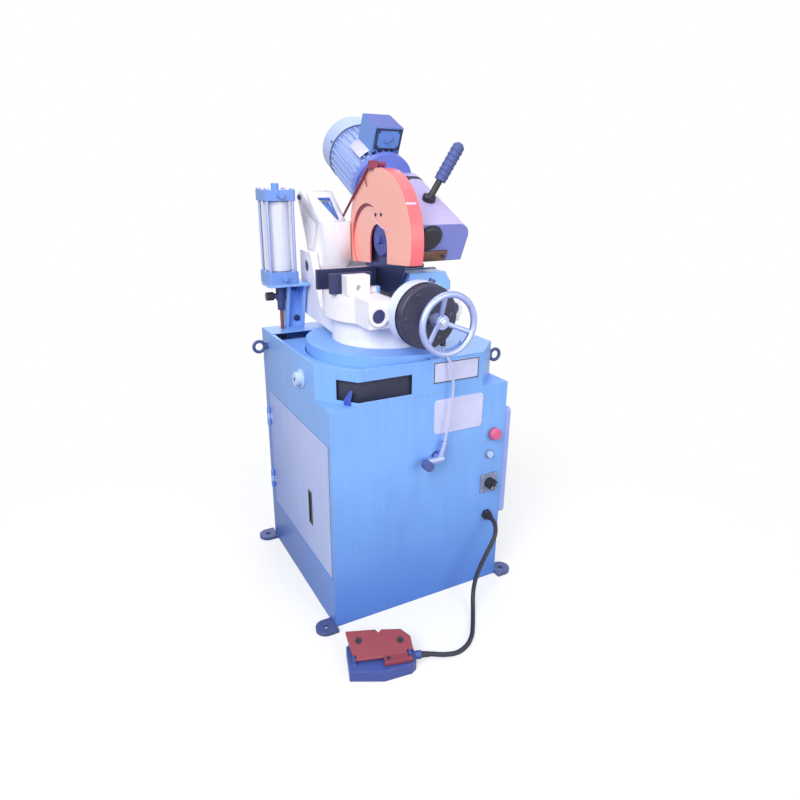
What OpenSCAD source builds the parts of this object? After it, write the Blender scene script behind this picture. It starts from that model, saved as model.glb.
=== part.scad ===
// Cold saw with a swivelling, tilting head, an air vise and a sheet-metal
// cabinet stand. Millimetres. The origin lies on the floor at the centre of
// the four anchor holes. X runs to the right, Y to the back, Z up.

/* [Cabinet] */
// Width of the cabinet
cab_w = 600; // [480:10:760]
// Depth of the cabinet
cab_d = 600; // [560:10:760]
// Height of the lower box
box_h = 710; // [560:10:860]
// Height of the chip tray on the box
tray_h = 105; // [80:5:140]
// Sheet thickness
sheet = 3; // [2:0.5:5]
// Left tray chamfer along the side
left_cut_side = 108; // [60:2:140]
// Left tray chamfer along the front
left_cut_front = 87; // [60:1:120]
// Right tray chamfer, both ways
right_cut = 98; // [60:2:130]
// Width of the rolled tray rim
rim_w = 10; // [6:1:12]
// Length of the chip slot along the front
slot_len = 212; // [120:4:220]
// Height of the chip slot
slot_h = 60; // [40:2:70]
// Radius of an anchor ear
ear_r = 32; // [24:1:40]
// Thickness of an anchor ear
ear_t = 12; // [8:1:16]
// Radius of an anchor hole
ear_hole_r = 9; // [6:0.5:12]
// Reach of an anchor hole beyond the side wall
ear_reach = 30; // [24:1:44]

/* [Door and covers] */
// Distance of the door from the front edge
door_front = 20; // [16:1:60]
// Distance of the door from the rear edge
door_rear = 40; // [40:1:120]
// Height of the side door
door_h = 432; // [340:4:480]
// Height of the lower door edge above the floor
door_z = 165; // [120:5:220]
// Gap round the door
door_gap = 4; // [2:0.5:6]
// Height of the door pull
pull_h = 108; // [80:2:140]
// Width of the door pull
pull_w = 18; // [12:1:26]
// Radius of a hinge barrel
hinge_r = 6; // [5:0.5:8]
// Height of one hinge
hinge_h = 66; // [48:3:90]
// Depth of the electrical cover
cover_depth = 26; // [14:1:40]
// Width of the electrical cover
cover_w = 460; // [320:10:520]
// Height of the electrical cover
cover_h = 378; // [260:6:420]

/* [Swivel base] */
// Radius of the fixed plinth
plinth_r = 246; // [236:1:254]
// Top of the plinth above the tray floor
plinth_h = 118; // [112:1:130]
// Radius of the turning ring
ring_r = 162; // [152:1:190]
// Height of the turning ring
ring_h = 77; // [60:1:90]
// Radius of the fixed middle post
post_r = 122; // [100:1:126]
// Outer width of the pedestal
ped_w = 300; // [290:2:340]
// Thickness of a pedestal cheek
cheek_t = 24; // [16:1:28]
// Height of the head pivot above the vise bed
pivot_rise = 38; // [30:1:60]
// Distance of the head pivot behind the middle
pivot_y = 242; // [220:1:262]
// Radius of the pivot shaft
pivot_r = 18; // [12:1:24]

/* [Vise] */
// Thickness of the vise bed
bed_t = 80; // [76:1:96]
// Radius of the vise bed
bed_r = 190; // [180:1:194]
// Depth of the vise screw below the bed
vise_drop = 42; // [40:1:46]
// Radius of the vise screw
screw_r = 12; // [9:0.5:14]
// Radius of the black vise cylinder
cyl_r = 91; // [80:1:96]
// Length of the black vise cylinder
cyl_len = 42; // [30:1:60]
// Opening of the vise as shown
vise_open = 74; // [60:1:80]
// Height of the steel jaws
jaw_h = 58; // [40:1:58]
// Thickness of the steel jaws
jaw_t = 18; // [12:1:24]
// Radius of the handwheel rim
wheel_r = 80; // [70:1:100]
// Radius of the rim tube
rim_r = 9; // [7:0.5:12]

/* [Saw head] */
// Radius of the saw blade
blade_r = 157.5; // [125:0.5:160]
// Thickness of the saw blade
blade_t = 2.5; // [1.6:0.1:3]
// Number of saw teeth
blade_teeth = 110; // [60:2:180]
// Arbor in front of the middle
arbor_y = -35; // [-50:1:-25]
// Height of the arbor above the bed as shown
arbor_rise = 143; // [140:1:165]
// Radius of the arbor
arbor_r = 17.5; // [14:0.5:20]
// Outer radius of the blade guard
guard_r = 204; // [180:1:210]
// Width of the blade guard
guard_w = 42; // [30:1:44]
// Wall of the blade guard
guard_wall = 3; // [2:0.5:5]
// Tilt of the motor
motor_tilt = 25.5; // [15:0.5:45]
// Radius of the motor over its fins
motor_r = 100; // [80:1:110]
// Length of the finned motor body
motor_len = 222; // [180:2:300]
// Length of the fan cowl
cowl_len = 70; // [50:2:90]
// Centre distance of the worm gear
gear_dist = 72; // [68:1:90]
// Number of worm wheel teeth
wheel_teeth = 30; // [20:1:48]
// Width of the gear housing
housing_w = 187; // [140:1:200]
// Radius of the grip
grip_r = 18; // [12:0.5:20]
// Length of the grip
grip_len = 120; // [90:2:130]

/* [Oil tank] */
// Side of a square tank cap
cap_w = 102; // [90:2:112]
// Radius of the clear tank tube
tube_r = 40; // [34:1:44]
// Length of the clear tank tube
tube_len = 220; // [160:4:300]
// Radius of a tie rod
rod_r = 5; // [3:0.5:6]

/* [Controls and foot switch] */
// Radius of the stop button
stop_r = 20; // [15:1:24]
// Radius of the start button
start_r = 11; // [8:0.5:14]
// Width of the selector plate
selector_w = 66; // [50:2:80]
// Length of the foot switch
pedal_w = 190; // [150:2:220]
// Depth of the foot switch
pedal_d = 110; // [90:2:130]
// Diameter of the foot switch cable
cable_d = 14; // [10:1:16]
// Diameter of the air hose
hose_d = 8; // [6:0.5:9]

/* [Hidden] */
$fn = 48;
// overrun of every cut
over = 1;
// running fit between a shaft and its hole
run_fit = 0.05;
// gap between faces that lie on one another
seat = 0.3;
// gap between pieces that pass one another
pass = 2;

front = -cab_d / 2;
left = -cab_w / 2;
right = cab_w / 2;
tray_top = box_h + tray_h;

// cabinet details
top_hole_r = 200;
lip_w = 14;
door_y0 = front + door_front;
door_y1 = -front - door_rear;
door_t = sheet - seat;
hinge_x = left - hinge_r;
hinge_y = door_y1 + door_gap;
hinge_pin_r = 3;
leaf_t = 2;
leaf_w = 28;
hinge_inset = 60;
pull_y = -118;
pull_z = 274;
pull_depth = 16;
pull_wall = 2;
pull_flange = 4;
cover_wall = 2;
cover_z = 237;
cover_inset = 6;
cover_y0 = front + cover_inset;
slot_x1 = -44;
slot_rise = 11;
slot_z = box_h + slot_rise;
slot_reach = 66;
plug_r = 23;
plug_t = 22;
plug_taper_share = 0.86;
plug_y = -88;
plug_rise = 36;
plug_z = box_h + plug_rise;
ear_inset_y = 5;
ear_y = cab_d / 2 - ear_inset_y;
eye_r = 18;
eye_tube = 5.5;
eye_shank_r = 7;
eye_shank = 14;
eye_collar_r = 11;
left_eye_back = 56;
right_eye_front = 114;
left_eye_y = -front - left_eye_back;
right_eye_y = front + right_eye_front;
eye_rise = 55;
eye_z = box_h + eye_rise;
drain_r = 24;
drain_inset = 65;
drain_x = right - drain_inset;
drain_y = -front - drain_inset;

// front panel places, in from the right edge and down from the box top
stop_in = 46;
stop_down = 165;
start_in = 56;
start_down = 236;
selector_in = 51;
selector_down = 339;
stop_at = [right - stop_in, box_h - stop_down];
start_at = [right - start_in, box_h - start_down];
selector_at = [right - selector_in, box_h - selector_down];

// swivel base
swivel_y = -30;
tray_floor = box_h + sheet;
plinth_top = tray_floor + plinth_h - sheet;
plinth_wall = 6;
post_wall = 18;
window_w = 220;
window_h = 76;
window_sill = 4;
window_turn = 30;
ring_z0 = plinth_top + seat;
ring_z1 = ring_z0 + ring_h;
ring_in = post_r + pass;
bed_z0 = ring_z1 + seat;
bed_z = bed_z0 + bed_t;
vise_z = bed_z - vise_drop;
pivot_z = bed_z + pivot_rise;
arbor_z = bed_z + arbor_rise;
ped_lift = 4;
ped_z0 = ring_z0 + ped_lift;
ped_tail_rise = 30;
ped_tail_z = ped_z0 + ped_tail_rise;
ped_front = 312;
ped_back = 58;
ped_knee = 114;
ped_shoulder = 37;
ped_head = 48;
ped_y0 = pivot_y - ped_front;
ped_y1 = pivot_y + ped_back;
ped_knee_y = pivot_y - ped_knee;
ped_shoulder_y = pivot_y - ped_shoulder;
ped_top = pivot_z + ped_head;
ped_web_t = 20;
ped_web_rise = 45;
ped_web_z = ring_z1 + ped_web_rise;
ped_floor_t = 18;
anchor_lug_t = 8;
anchor_lug_gap = 44;
anchor_lug_h = 34;

// head return spring
spring_x = -76;
anchor_back = 18;
anchor_drop = 143;
hook_back = 124;
hook_rise = 215;
anchor_y = ped_y1 + anchor_back;
anchor_z = pivot_z - anchor_drop;
hook_y = pivot_y + hook_back;
hook_z = pivot_z + hook_rise;
pin_r = 6;
wire_r = 2.5;
coil_r = 17;
curls = 22;
hook_drop = 26;
hook_r = pin_r + wire_r + seat;

// vise
channel_w = 128;
channel_drop = 21;
channel_z = vise_z - channel_drop;
channel_y1 = 42;
tail_y = 62;
chip_w = 76;
chip_y0 = -140;
chip_y1 = 0;
bed_front = -236;
front_block_w = 300;
front_wall = 20;
mount_len = 34;
mount_proud = 2;
mount_r = cyl_r + mount_proud;
cyl_y0 = bed_front - mount_len - seat;
cyl_y1 = cyl_y0 - cyl_len;
gland_boss_r = 26;
gland_boss = 10;
cap_bolt_r = 6;
cap_bolt_circle_r = 72;
jaw_z0 = bed_z + seat;
jaw_z1 = jaw_z0 + jaw_h;
fence_t = 38;
fence_h = 54;
fence_in = 10;
fence_right_in = 64;
fence_out = 160;
rear_left_in = 10;
rear_left_len = 195;
rear_right_in = 45;
rear_right_len = 118;
front_left_in = 70;
front_left_len = 130;
front_right_in = 20;
front_right_len = 132;
slide_gap = 1;
slide_w = channel_w - 2 * slide_gap;
slide_z0 = channel_z + seat;
slide_rise = 18;
slide_z1 = vise_z + slide_rise;
slide_y0 = -150;
riser_t = 10;
riser_len = 22;
riser_y1 = -vise_open - jaw_t - seat;
riser_y0 = riser_y1 - riser_len;
riser_rise = 18;
riser_z = bed_z + riser_rise;
carrier_z0 = bed_z + seat;
carrier_foot = 17;
carrier_out = 167;
carrier_in = 95;
carrier_depth = 40;
carrier_h = 56;
carrier_bore_r = 9;
carrier_bore_z = 20;
casting_out = 162;
casting_depth = 70;
casting_shoulder = 142;
casting_side_h = 24;
screw_tip_y = 40;
wheel_out = 98;
wheel_y = cyl_y1 - wheel_out;
hub_r = 20;
hub_len = 34;
hub_back = 45;
spoke_turn = -9;
spoke_r = 7;
spokes = 3;
guide_r = 20;
guide_boss_r = 30;
guide_x = 122;
guide_proud = 10;

// saw head frame: the worm axis leans back, local Y runs along it
worm_x = 78;
worm_y = arbor_y - gear_dist * sin(motor_tilt);
worm_z = arbor_z + gear_dist * cos(motor_tilt);
head_gap = 3;
housing_x0 = guard_w / 2 + head_gap;
housing_x1 = housing_x0 + housing_w;
housing_s0 = -118;
housing_s1 = 208;
housing_n0 = -80;
housing_n1 = 42;
housing_round = 42;
case_r = 66;
case_x1 = 140;
arm_x0 = 28;
arm_x1 = 122;
arm_y = 42;
arm_down = 52;
arm_up = 26;
arm_z0 = arbor_z - arm_down;
arm_z1 = arbor_z + arm_up;
gear_room_r = 57;
gear_room_w = 64;
worm_room_r = 26;
vent_w = 62;
vent_len = 12;
vent_depth = 14;
vent_s = 158;
vent_x = 82;
cap_r = 37;
cap_t = 12;
hub_end = ped_w / 2 - cheek_t - pass;
arm_hub_r = 44;
lobe_x0 = -118;
lobe_front = 92;
lobe_low = 29;
lobe_high = 145;
lobe_gap = 13;
lobe_top_w = 8;
lobe_y = pivot_y - lobe_front;
lobe_z0 = pivot_z + lobe_low;
lobe_z1 = pivot_z + lobe_high;
lobe_mid_y = arbor_y + guard_r + lobe_gap;
lobe_back = lobe_mid_y + lobe_top_w;
lever_t = 16;
lever_in = 60;
lever_r = 24;
lever_web_t = 14;
lever_pocket = 5;
lever_rim_share = 0.66;
lobe_mid_x = -28;

// blade guard
guard_arch_r = 60;
arch_down = 14;
low_back_down = 86;
low_front_down = 54;
guard_arch_z = arbor_z - arch_down;
guard_low_back = arbor_z - low_back_down;
guard_low_front = arbor_z - low_front_down;
recess_r = 112;
recess_back = 75;
recess_down = 10;
recess_depth = 3;
recess_lean = 2.2;
recess_wall = 8;
pad_r = 14;
pad_s = 55;
pad_n = 16;
pipe_r = 4;
pipe_x = -26;
pipe_back = 25;
pipe_up = 13;
pipe_top_back = 39;
pipe_top_up = 216;
pipe_low_y = lobe_back + pipe_back;
pipe_low_z = lobe_z1 + pipe_up;
pipe_top_y = arbor_y + pipe_top_back;
pipe_top_z = arbor_z + pipe_top_up;
fitting_w = 17;
fitting_h = 16;

// arbor, blade and gear
flange_r = 50;
flange_t = 11;
inner_flange_r = 45;
bolt_r = 13;
bolt_h = 9;
tooth_depth = 4;
tooth_lead_share = 0.25;
bearing_r = 31;
bearing_w = 18;
bearing_in = 2;
bearing_x0 = housing_x0 + bearing_in;
bearing_x1 = 112;
arbor_end = bearing_x1 + bearing_w;
wheel_out_r = 51.5;
wheel_root_r = 44;
wheel_face = 28;
wheel_hub_r = 26;
wheel_hub_w = 44;
tip_share = 0.22;
root_share = 0.36;
worm_out_r = 19;
worm_root_r = 13;
worm_len = 110;
worm_rings = 11;
shaft_r = 11;
shaft_back = 360;

// motor
flange_len = 18;
fin_h = 15;
core_r = motor_r - fin_h;
fins = 30;
fin_t = 3;
cowl_wall = 3;
cowl_slots = 10;
cowl_slot_w = 8;
cowl_slot_in = 34;
cowl_slot_out = 84;
motor_s0 = housing_s1 + seat;
motor_s1 = motor_s0 + motor_len;
box_w = 96;
box_s = 240;
box_len = 105;
box_n = 168;
box_wall = 4;
lid_t = 4;
lid_inset = 6;
lid_bar_w = 10;
lid_bar_len = 30;
lid_bar_t = 6;

// handle
handle_x = 137;
handle_s = 24;
handle_back = 13;
handle_lean = 29;
handle_r = 10;
handle_len = 186;
handle_foot_r = 20;
handle_foot_t = 14;
grip_ribs = 6;
grip_rib_r = 2;
grip_round = 9;
grip_step = (grip_len - grip_round) / (grip_ribs + 1);

// oil tank
tank_in = 58;
tank_x = left + tank_in;
tank_y = -front - cap_w / 2 + pass;
cap_low_h = 39;
cap_top_h = 33;
cap_corner = 10;
shelf_t = 9;
shelf_rise = 159;
shelf_z = tray_top + shelf_rise;
plate_w = 66;
plate_t = 10;
plate_z0 = tray_floor + seat;
plate_y = -front - rim_w - seat;
rod_at = 41;
plate_in = 108;
plate_x = left + plate_in;
rod_nut_r = 8;
stub_r = 12;
stub_h = 19;
port_r = 9;
port_len = 14;
tube_wall = 4;
flow_r = 16;
flow_len = 50;
flow_arm_r = 9;
flow_down = 36;
flow_z = shelf_z - flow_down;
flow_knob_r = 14;
flow_knob_len = 24;
feed_r = 6;

// controls
collar_t = 5;
collar_w = 4;
stop_head = 16;
stop_face_r = 16;
stop_stem_r = 9;
stop_travel = 5;
start_proud = 7;
plate_thick = 4;
knob_r = 18;
knob_face_r = 15;
knob_len = 20;
knob_bar_w = 9;
knob_bar_h = 8;
name_plate = [157, 63];
name_in = 195;
name_up = 64;
name_at = [right - name_in, box_h + name_up];
blank_plate = [175, 110];
blank_in = 180;
blank_down = 76;
blank_at = [right - blank_in, box_h - blank_down];
blank_r = 14;
blank_t = 2;
gland_nut_r = 18;
gland_nut_t = 12;
gland_r = 13;
gland_tip_r = 10.5;
gland_len = 28;
valve_foot_r = 15;
valve_r = 11;
valve_len = 56;
valve_elbow_r = 9;
valve_out = 22;
valve_y = front - valve_out;
valve_side = 17;
valve_below = 54;
air_knob_r = 15;
air_knob_len = 26;
port_stub_r = 9;

// foot switch
pedal_x = -244;
pedal_y = -497;
pedal_turn = -18;
pedal_h = 34;
pedal_wall = 4;
pedal_nose = 16;
pedal_corner = 14;
treadle_t = 12;
treadle_tilt = 16;
ear_inset = 16;
heel_d = 30;
treadle_rise = 10;
treadle_hinge_y = heel_d - pedal_d / 2;
treadle_hinge_z = pedal_h + treadle_rise;
treadle_pin_r = 4;
boss_r = 12;
boss_len = 20;
boss_z = 20;
boss_y = -8;
// outline of the treadle, measured from its hinge
treadle_plan = [
    [-73, 0], [72, 0], [72, 12], [90, 12], [90, 52], [66, 78], [9, 84], [0, 75], [-9, 86],
    [-94, 90], [-82, 12], [-73, 12]
];
// outline of the tab before the hinge
tab_plan = [[4, 6], [4, -29], [84, -22], [84, -11], [71, -11], [71, 6]];

// coolant supply
coolant_w = 270;
coolant_d = 300;
coolant_h = 190;
coolant_in = 38;
coolant_x = left + coolant_in;
coolant_y = -60;
coolant_wall = 4;
well_w = 58;
pump_r = 46;
pump_h = 150;
pump_foot_r = 60;
pump_foot_t = 10;
pump_top_r = 32;

// cable route from the gland to the foot switch
cable_route = [
    [247, -328, 252], [244.1, -352, 248.3], [235.9, -372.5, 237.9], [223.5, -386.5, 222.2],
    [208.7, -393, 203], [193, -395, 180], [177, -395, 150], [162, -395, 118], [150, -396, 86],
    [140, -402, 56], [129, -416, 30], [115, -438, 14], [96, -466, 8], [73, -498, 8], [46, -532, 8],
    [10, -560, 8], [-32, -572, 8], [-72, -564, 11], [-106, -550, 16], [-137.1, -540.1, 20]
];
// hose route from the vise cylinder to the air valve, measured from the screw height
hose_shape = [
    [60, -291, -92], [60, -293, -104], [65, -306, -120], [73, -320, -146],
    [80, -325, -204], [76, -325, -284], [66, -324, -344], [60, -322, -382]
];
hose_route = [for (p = hose_shape) p + [0, 0, vise_z]];
hose_end = hose_route[len(hose_route) - 1];
valve_at = [hose_end[0] - valve_side, hose_end[2] - valve_below];
gland_at = [cable_route[0][0], cable_route[0][2]];

blue = "#8fb8e6";
cream = "#e9ddd8";
steel = "#aab0b8";
dark = "#2a2c34";
orange = "#e8825a";
grey = "#8897ad";
red = "#c8202a";
brass = "#8a5a2c";
black = "#141416";

// places a child with its Z axis along X
module along_x(x, y, z) {
    translate([x, y, z])
        rotate([0, 90, 0])
            children();
}

// places a child with its Z axis along Y
module along_y(x, y, z) {
    translate([x, y, z])
        rotate([-90, 0, 0])
            children();
}

// places a child in the leaning frame of the worm axis
module on_worm(x, s, n) {
    translate([0, worm_y, worm_z])
        rotate([motor_tilt, 0, 0])
            translate([x, s, n])
                children();
}

// places a child in the turned frame of the foot switch
module on_pedal() {
    translate([pedal_x, pedal_y, 0])
        rotate([0, 0, pedal_turn])
            children();
}

module box(x0, x1, y0, y1, z0, z1) {
    translate([x0, y0, z0])
        cube([x1 - x0, y1 - y0, z1 - z0]);
}

// plate with round corners, its middle at the origin, thickness along Z
module rounded_plate(w, d, t, r) {
    translate([-w / 2 + r, -d / 2, 0])
        cube([w - 2 * r, d, t]);
    translate([-w / 2, -d / 2 + r, 0])
        cube([w, d - 2 * r, t]);
    for (i = [-1, 1], j = [-1, 1])
        translate([i * (w / 2 - r), j * (d / 2 - r), 0])
            cylinder(r = r, h = t);
}

module ring(r, hole, h) {
    difference() {
        cylinder(r = r, h = h);
        translate([0, 0, -over])
            cylinder(r = hole, h = h + 2 * over);
    }
}

// solid between two planes of constant X, from an outline in Y and Z
module slab(x0, x1, outline) {
    translate([x0, 0, 0])
        rotate([90, 0, 90])
            linear_extrude(x1 - x0)
                polygon(outline);
}

// outline of the tray, drawn in by a wall
function leg_scale(a, b, d) = 1 + d * (1 - (a + b) / norm([a, b])) * norm([a, b]) / (a * b);
function tray_outline(d) =
    let (
        kl = leg_scale(left_cut_side, left_cut_front, d),
        kr = leg_scale(right_cut, right_cut, d),
        x = cab_w / 2 - d,
        y = cab_d / 2 - d
    )
    [
        [-x, y], [-x, -y + left_cut_side * kl], [-x + left_cut_front * kl, -y],
        [x - right_cut * kr, -y], [x, -y + right_cut * kr], [x, y]
    ];

// smooth curve through the points of a route
function spline(p, i, t) =
    let (
        n = len(p) - 1,
        a = i > 0 ? p[i - 1] : 2 * p[0] - p[1],
        b = p[i],
        c = p[i + 1],
        d = i + 1 < n ? p[i + 2] : 2 * p[n] - p[n - 1]
    )
    (2 * b + (c - a) * t + (2 * a - 5 * b + 4 * c - d) * t * t
        + (3 * b - a - 3 * c + d) * t * t * t) / 2;
function route_points(p, steps) = [
    for (i = [0:len(p) - 2], k = [0:steps - 1]) spline(p, i, k / steps),
    p[len(p) - 1]
];
function unit(v) = v / norm(v);
function tangents(p) = [
    for (i = [0:len(p) - 1]) unit(p[min(i + 1, len(p) - 1)] - p[max(i - 1, 0)])
];
// side vectors carried along the curve without twist
function carried(t, v) = unit(v - t * (v * t));
function sides_along(t, i, v) = i == len(t) ? [] : concat([v], sides_along(t, i + 1,
    i + 1 < len(t) ? carried(t[i + 1], v) : v));

// round tube swept along points
module tube_along(p, r, sides, start) {
    t = tangents(p);
    u = sides_along(t, 0, carried(t[0], start));
    points = [
        for (i = [0:len(p) - 1], k = [0:sides - 1])
            p[i] + r * (cos(360 * k / sides) * u[i] + sin(360 * k / sides) * cross(t[i], u[i]))
    ];
    last = (len(p) - 1) * sides;
    faces = concat(
        [[for (k = [0:sides - 1]) k]],
        [
            for (i = [0:len(p) - 2], k = [0:sides - 1])
                let (a = i * sides + k, b = i * sides + (k + 1) % sides)
                each [[a, a + sides, b], [b, a + sides, b + sides]]
        ],
        [[for (k = [sides - 1:-1:0]) last + k]]
    );
    polyhedron(points, faces, convexity = 10);
}

module front_hole(at, r) {
    along_y(at[0], front - over, at[1])
        cylinder(r = r, h = sheet + 2 * over);
}

module cabinet_shell() {
    color(blue) {
        difference() {
            box(left, right, front, -front, 0, box_h);
            box(left + sheet, right - sheet, front + sheet, -front - sheet, sheet, box_h - sheet);
            box(left - over, left + sheet + seat, front + sheet, -front - sheet, -over, box_h + over);
            translate([0, 0, box_h - sheet - over])
                cylinder(r = top_hole_r, h = sheet + 2 * over);
            front_hole(stop_at, stop_stem_r + pass);
            front_hole(start_at, start_r + pass);
            front_hole(gland_at, cable_d / 2 + pass);
        }
    }
}

// left side with the doorway
module cabinet_side() {
    inner = front + sheet + seat;
    color(blue) {
        difference() {
            box(left, left + sheet, inner, -inner, 0, box_h);
            box(left - over, left + sheet + over, door_y0 - door_gap, door_y1 + door_gap,
                door_z - door_gap, door_z + door_h + door_gap);
        }
        // stop frame behind the door
        difference() {
            box(left + sheet, left + 2 * sheet, door_y0 - lip_w, door_y1 + lip_w,
                door_z - lip_w, door_z + door_h + lip_w);
            box(left + sheet - over, left + 2 * sheet + over, door_y0 + lip_w, door_y1 - lip_w,
                door_z + lip_w, door_z + door_h - lip_w);
        }
    }
}

module chip_tray() {
    color(blue)
        difference() {
            translate([0, 0, box_h])
                linear_extrude(tray_h)
                    polygon(tray_outline(0));
            translate([0, 0, tray_floor])
                linear_extrude(tray_h - 2 * sheet)
                    polygon(tray_outline(sheet));
            translate([0, 0, tray_floor])
                linear_extrude(tray_h)
                    polygon(tray_outline(rim_w));
            box(slot_x1 - slot_len, slot_x1, front - over, front + slot_reach,
                slot_z, slot_z + slot_h);
            translate([drain_x, drain_y, box_h - over])
                cylinder(r = drain_r, h = sheet + 2 * over);
            translate([0, swivel_y, box_h - over])
                cylinder(r = post_r, h = sheet + 2 * over);
        }
}

module plinth() {
    color(blue)
        translate([0, swivel_y, 0]) {
            difference() {
                translate([0, 0, tray_floor])
                    ring(plinth_r, plinth_r - plinth_wall, plinth_top - tray_floor);
                for (a = [0:90:270])
                    rotate([0, 0, a - window_turn])
                        translate([0, -window_w / 2, tray_floor + window_sill])
                            cube([plinth_r + over, window_w, window_h]);
            }
            translate([0, 0, plinth_top - plinth_wall])
                ring(plinth_r - plinth_wall / 2, post_r - post_wall, plinth_wall);
            // post that carries the vise
            translate([0, 0, plinth_top + seat])
                ring(post_r, post_r - post_wall, bed_z0 - plinth_top - 2 * seat);
        }
}

module anchor_ears() {
    color(blue)
        for (i = [-1, 1], j = [-1, 1])
            difference() {
                union() {
                    translate([i * (right + ear_reach), j * ear_y, 0])
                        cylinder(r = ear_r, h = ear_t);
                    box(min(i * right, i * (right + ear_reach)), max(i * right, i * (right + ear_reach)),
                        j * ear_y - ear_r, j * ear_y + ear_r, 0, ear_t);
                }
                translate([i * (right + ear_reach), j * ear_y, -over])
                    cylinder(r = ear_hole_r, h = ear_t + 2 * over);
                box(left, right, front, -front, -over, ear_t + over);
            }
}

module lifting_eye() {
    cylinder(r = eye_collar_r, h = eye_shank / 2);
    cylinder(r = eye_shank_r, h = eye_shank);
    translate([0, 0, eye_shank + eye_r - eye_tube / 2])
        rotate([90, 0, 0])
            rotate_extrude()
                translate([eye_r, 0])
                    circle(r = eye_tube, $fn = 20);
}

module lifting_eyes() {
    color(steel) {
        translate([left, left_eye_y, eye_z])
            rotate([0, -90, 0])
                lifting_eye();
        translate([right, right_eye_y, eye_z])
            rotate([0, 90, 0])
                lifting_eye();
    }
}

module tray_plug() {
    color(cream)
        along_x(left - plug_t, plug_y, plug_z)
            cylinder(r1 = plug_r * plug_taper_share, r2 = plug_r, h = plug_t);
}

function hinge_z() = [door_z + hinge_inset, door_z + door_h - hinge_inset - hinge_h];
hinge_third = hinge_h / 3;

module hinge_leaves() {
    color(steel)
        for (z = hinge_z()) {
            box(left - leaf_t, left, hinge_y + hinge_r + pass, hinge_y + leaf_w, z, z + hinge_h);
            for (k = [0, 2]) {
                box(left - leaf_t, left, hinge_y, hinge_y + leaf_w, z + k * hinge_third,
                    z + (k + 1) * hinge_third);
                translate([hinge_x, hinge_y, z + k * hinge_third])
                    cylinder(r = hinge_r, h = hinge_third);
            }
            translate([hinge_x, hinge_y, z])
                cylinder(r = hinge_pin_r, h = hinge_h);
        }
}

module electrical_cover() {
    color(blue)
        difference() {
            translate([right, cover_y0 + cover_w / 2, cover_z + cover_h / 2])
                rotate([90, 0, 90])
                    rounded_plate(cover_w, cover_h, cover_depth, cover_depth / 2);
            box(right - over, right + cover_depth - cover_wall, cover_y0 + cover_depth / 2,
                cover_y0 + cover_w - cover_depth / 2, cover_z + cover_depth / 2,
                cover_z + cover_h - cover_depth / 2);
        }
}

module name_plates() {
    color(cream) {
        along_y(name_at[0], front - blank_t, name_at[1])
            rounded_plate(name_plate[0], name_plate[1], blank_t, blank_t);
        along_y(blank_at[0], front - blank_t, blank_at[1])
            rounded_plate(blank_plate[0], blank_plate[1], blank_t, blank_r);
    }
}

module control_collars() {
    color(dark) {
        along_y(stop_at[0], front - collar_t, stop_at[1])
            ring(stop_stem_r + pass + collar_w + collar_t, stop_stem_r + run_fit, collar_t);
        along_y(start_at[0], front - collar_t, start_at[1])
            ring(start_r + collar_w, start_r + run_fit, collar_t);
        along_y(selector_at[0], front - plate_thick, selector_at[1])
            rounded_plate(selector_w, selector_w, plate_thick, plate_thick);
    }
}

module stop_button() {
    y = front - collar_t - stop_travel;
    color(red) {
        along_y(stop_at[0], y - stop_head, stop_at[1])
            cylinder(r1 = stop_face_r, r2 = stop_r, h = stop_head / 2);
        along_y(stop_at[0], y - stop_head / 2, stop_at[1])
            cylinder(r = stop_r, h = stop_head / 2);
        along_y(stop_at[0], y, stop_at[1])
            cylinder(r = stop_stem_r, h = collar_t + stop_travel + sheet);
    }
}

module start_button() {
    color(cream)
        along_y(start_at[0], front - collar_t - start_proud, start_at[1])
            cylinder(r = start_r, h = start_proud + collar_t + sheet);
}

module selector_knob() {
    y = front - plate_thick - seat - knob_len;
    color(black) {
        along_y(selector_at[0], y, selector_at[1])
            cylinder(r1 = knob_face_r, r2 = knob_r, h = knob_len);
        translate([selector_at[0], y, selector_at[1]])
            rotate([0, -45, 0])
                box(-knob_r, knob_r, -knob_bar_h, knob_bar_h, -knob_bar_w / 2, knob_bar_w / 2);
    }
}

module cable_gland() {
    color(black) {
        along_y(gland_at[0], front - gland_nut_t, gland_at[1])
            cylinder(r = gland_nut_r, h = gland_nut_t, $fn = 6);
        along_y(gland_at[0], front - gland_len, gland_at[1])
            cylinder(r1 = gland_tip_r, r2 = gland_r, h = gland_len);
    }
}

module foot_cable() {
    color(black)
        tube_along(route_points(cable_route, 2), cable_d / 2, 10, [1, 0, 0]);
}

// outline of the foot switch with its blunt nose
module pedal_plan(inset, h) {
    x = pedal_w / 2 - inset;
    y = pedal_d / 2 - inset;
    linear_extrude(h)
        polygon([
            [-x, y - pedal_corner], [-x, -y], [0, -y - pedal_nose], [x - pedal_corner, -y],
            [x, pedal_corner - y], [x, y], [pedal_corner - x, y]
        ]);
}

module pedal_base() {
    ear_x = pedal_w / 2 - ear_inset;
    color(blue)
        on_pedal() {
            difference() {
                pedal_plan(0, pedal_h);
                translate([0, 0, -over])
                    pedal_plan(pedal_wall, pedal_h - pedal_wall + over);
            }
            for (i = [-1, 1])
                difference() {
                    box(i * ear_x - pedal_wall, i * ear_x + pedal_wall,
                        treadle_hinge_y - 2 * treadle_pin_r, treadle_hinge_y + 2 * treadle_pin_r,
                        pedal_h - over, treadle_hinge_z + 2 * treadle_pin_r);
                    along_x(-pedal_w / 2, treadle_hinge_y, treadle_hinge_z)
                        cylinder(r = treadle_pin_r + run_fit, h = pedal_w);
                }
            along_x(pedal_w / 2 - pedal_wall, boss_y, boss_z)
                cylinder(r = boss_r, h = boss_len + pedal_wall);
        }
}

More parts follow.
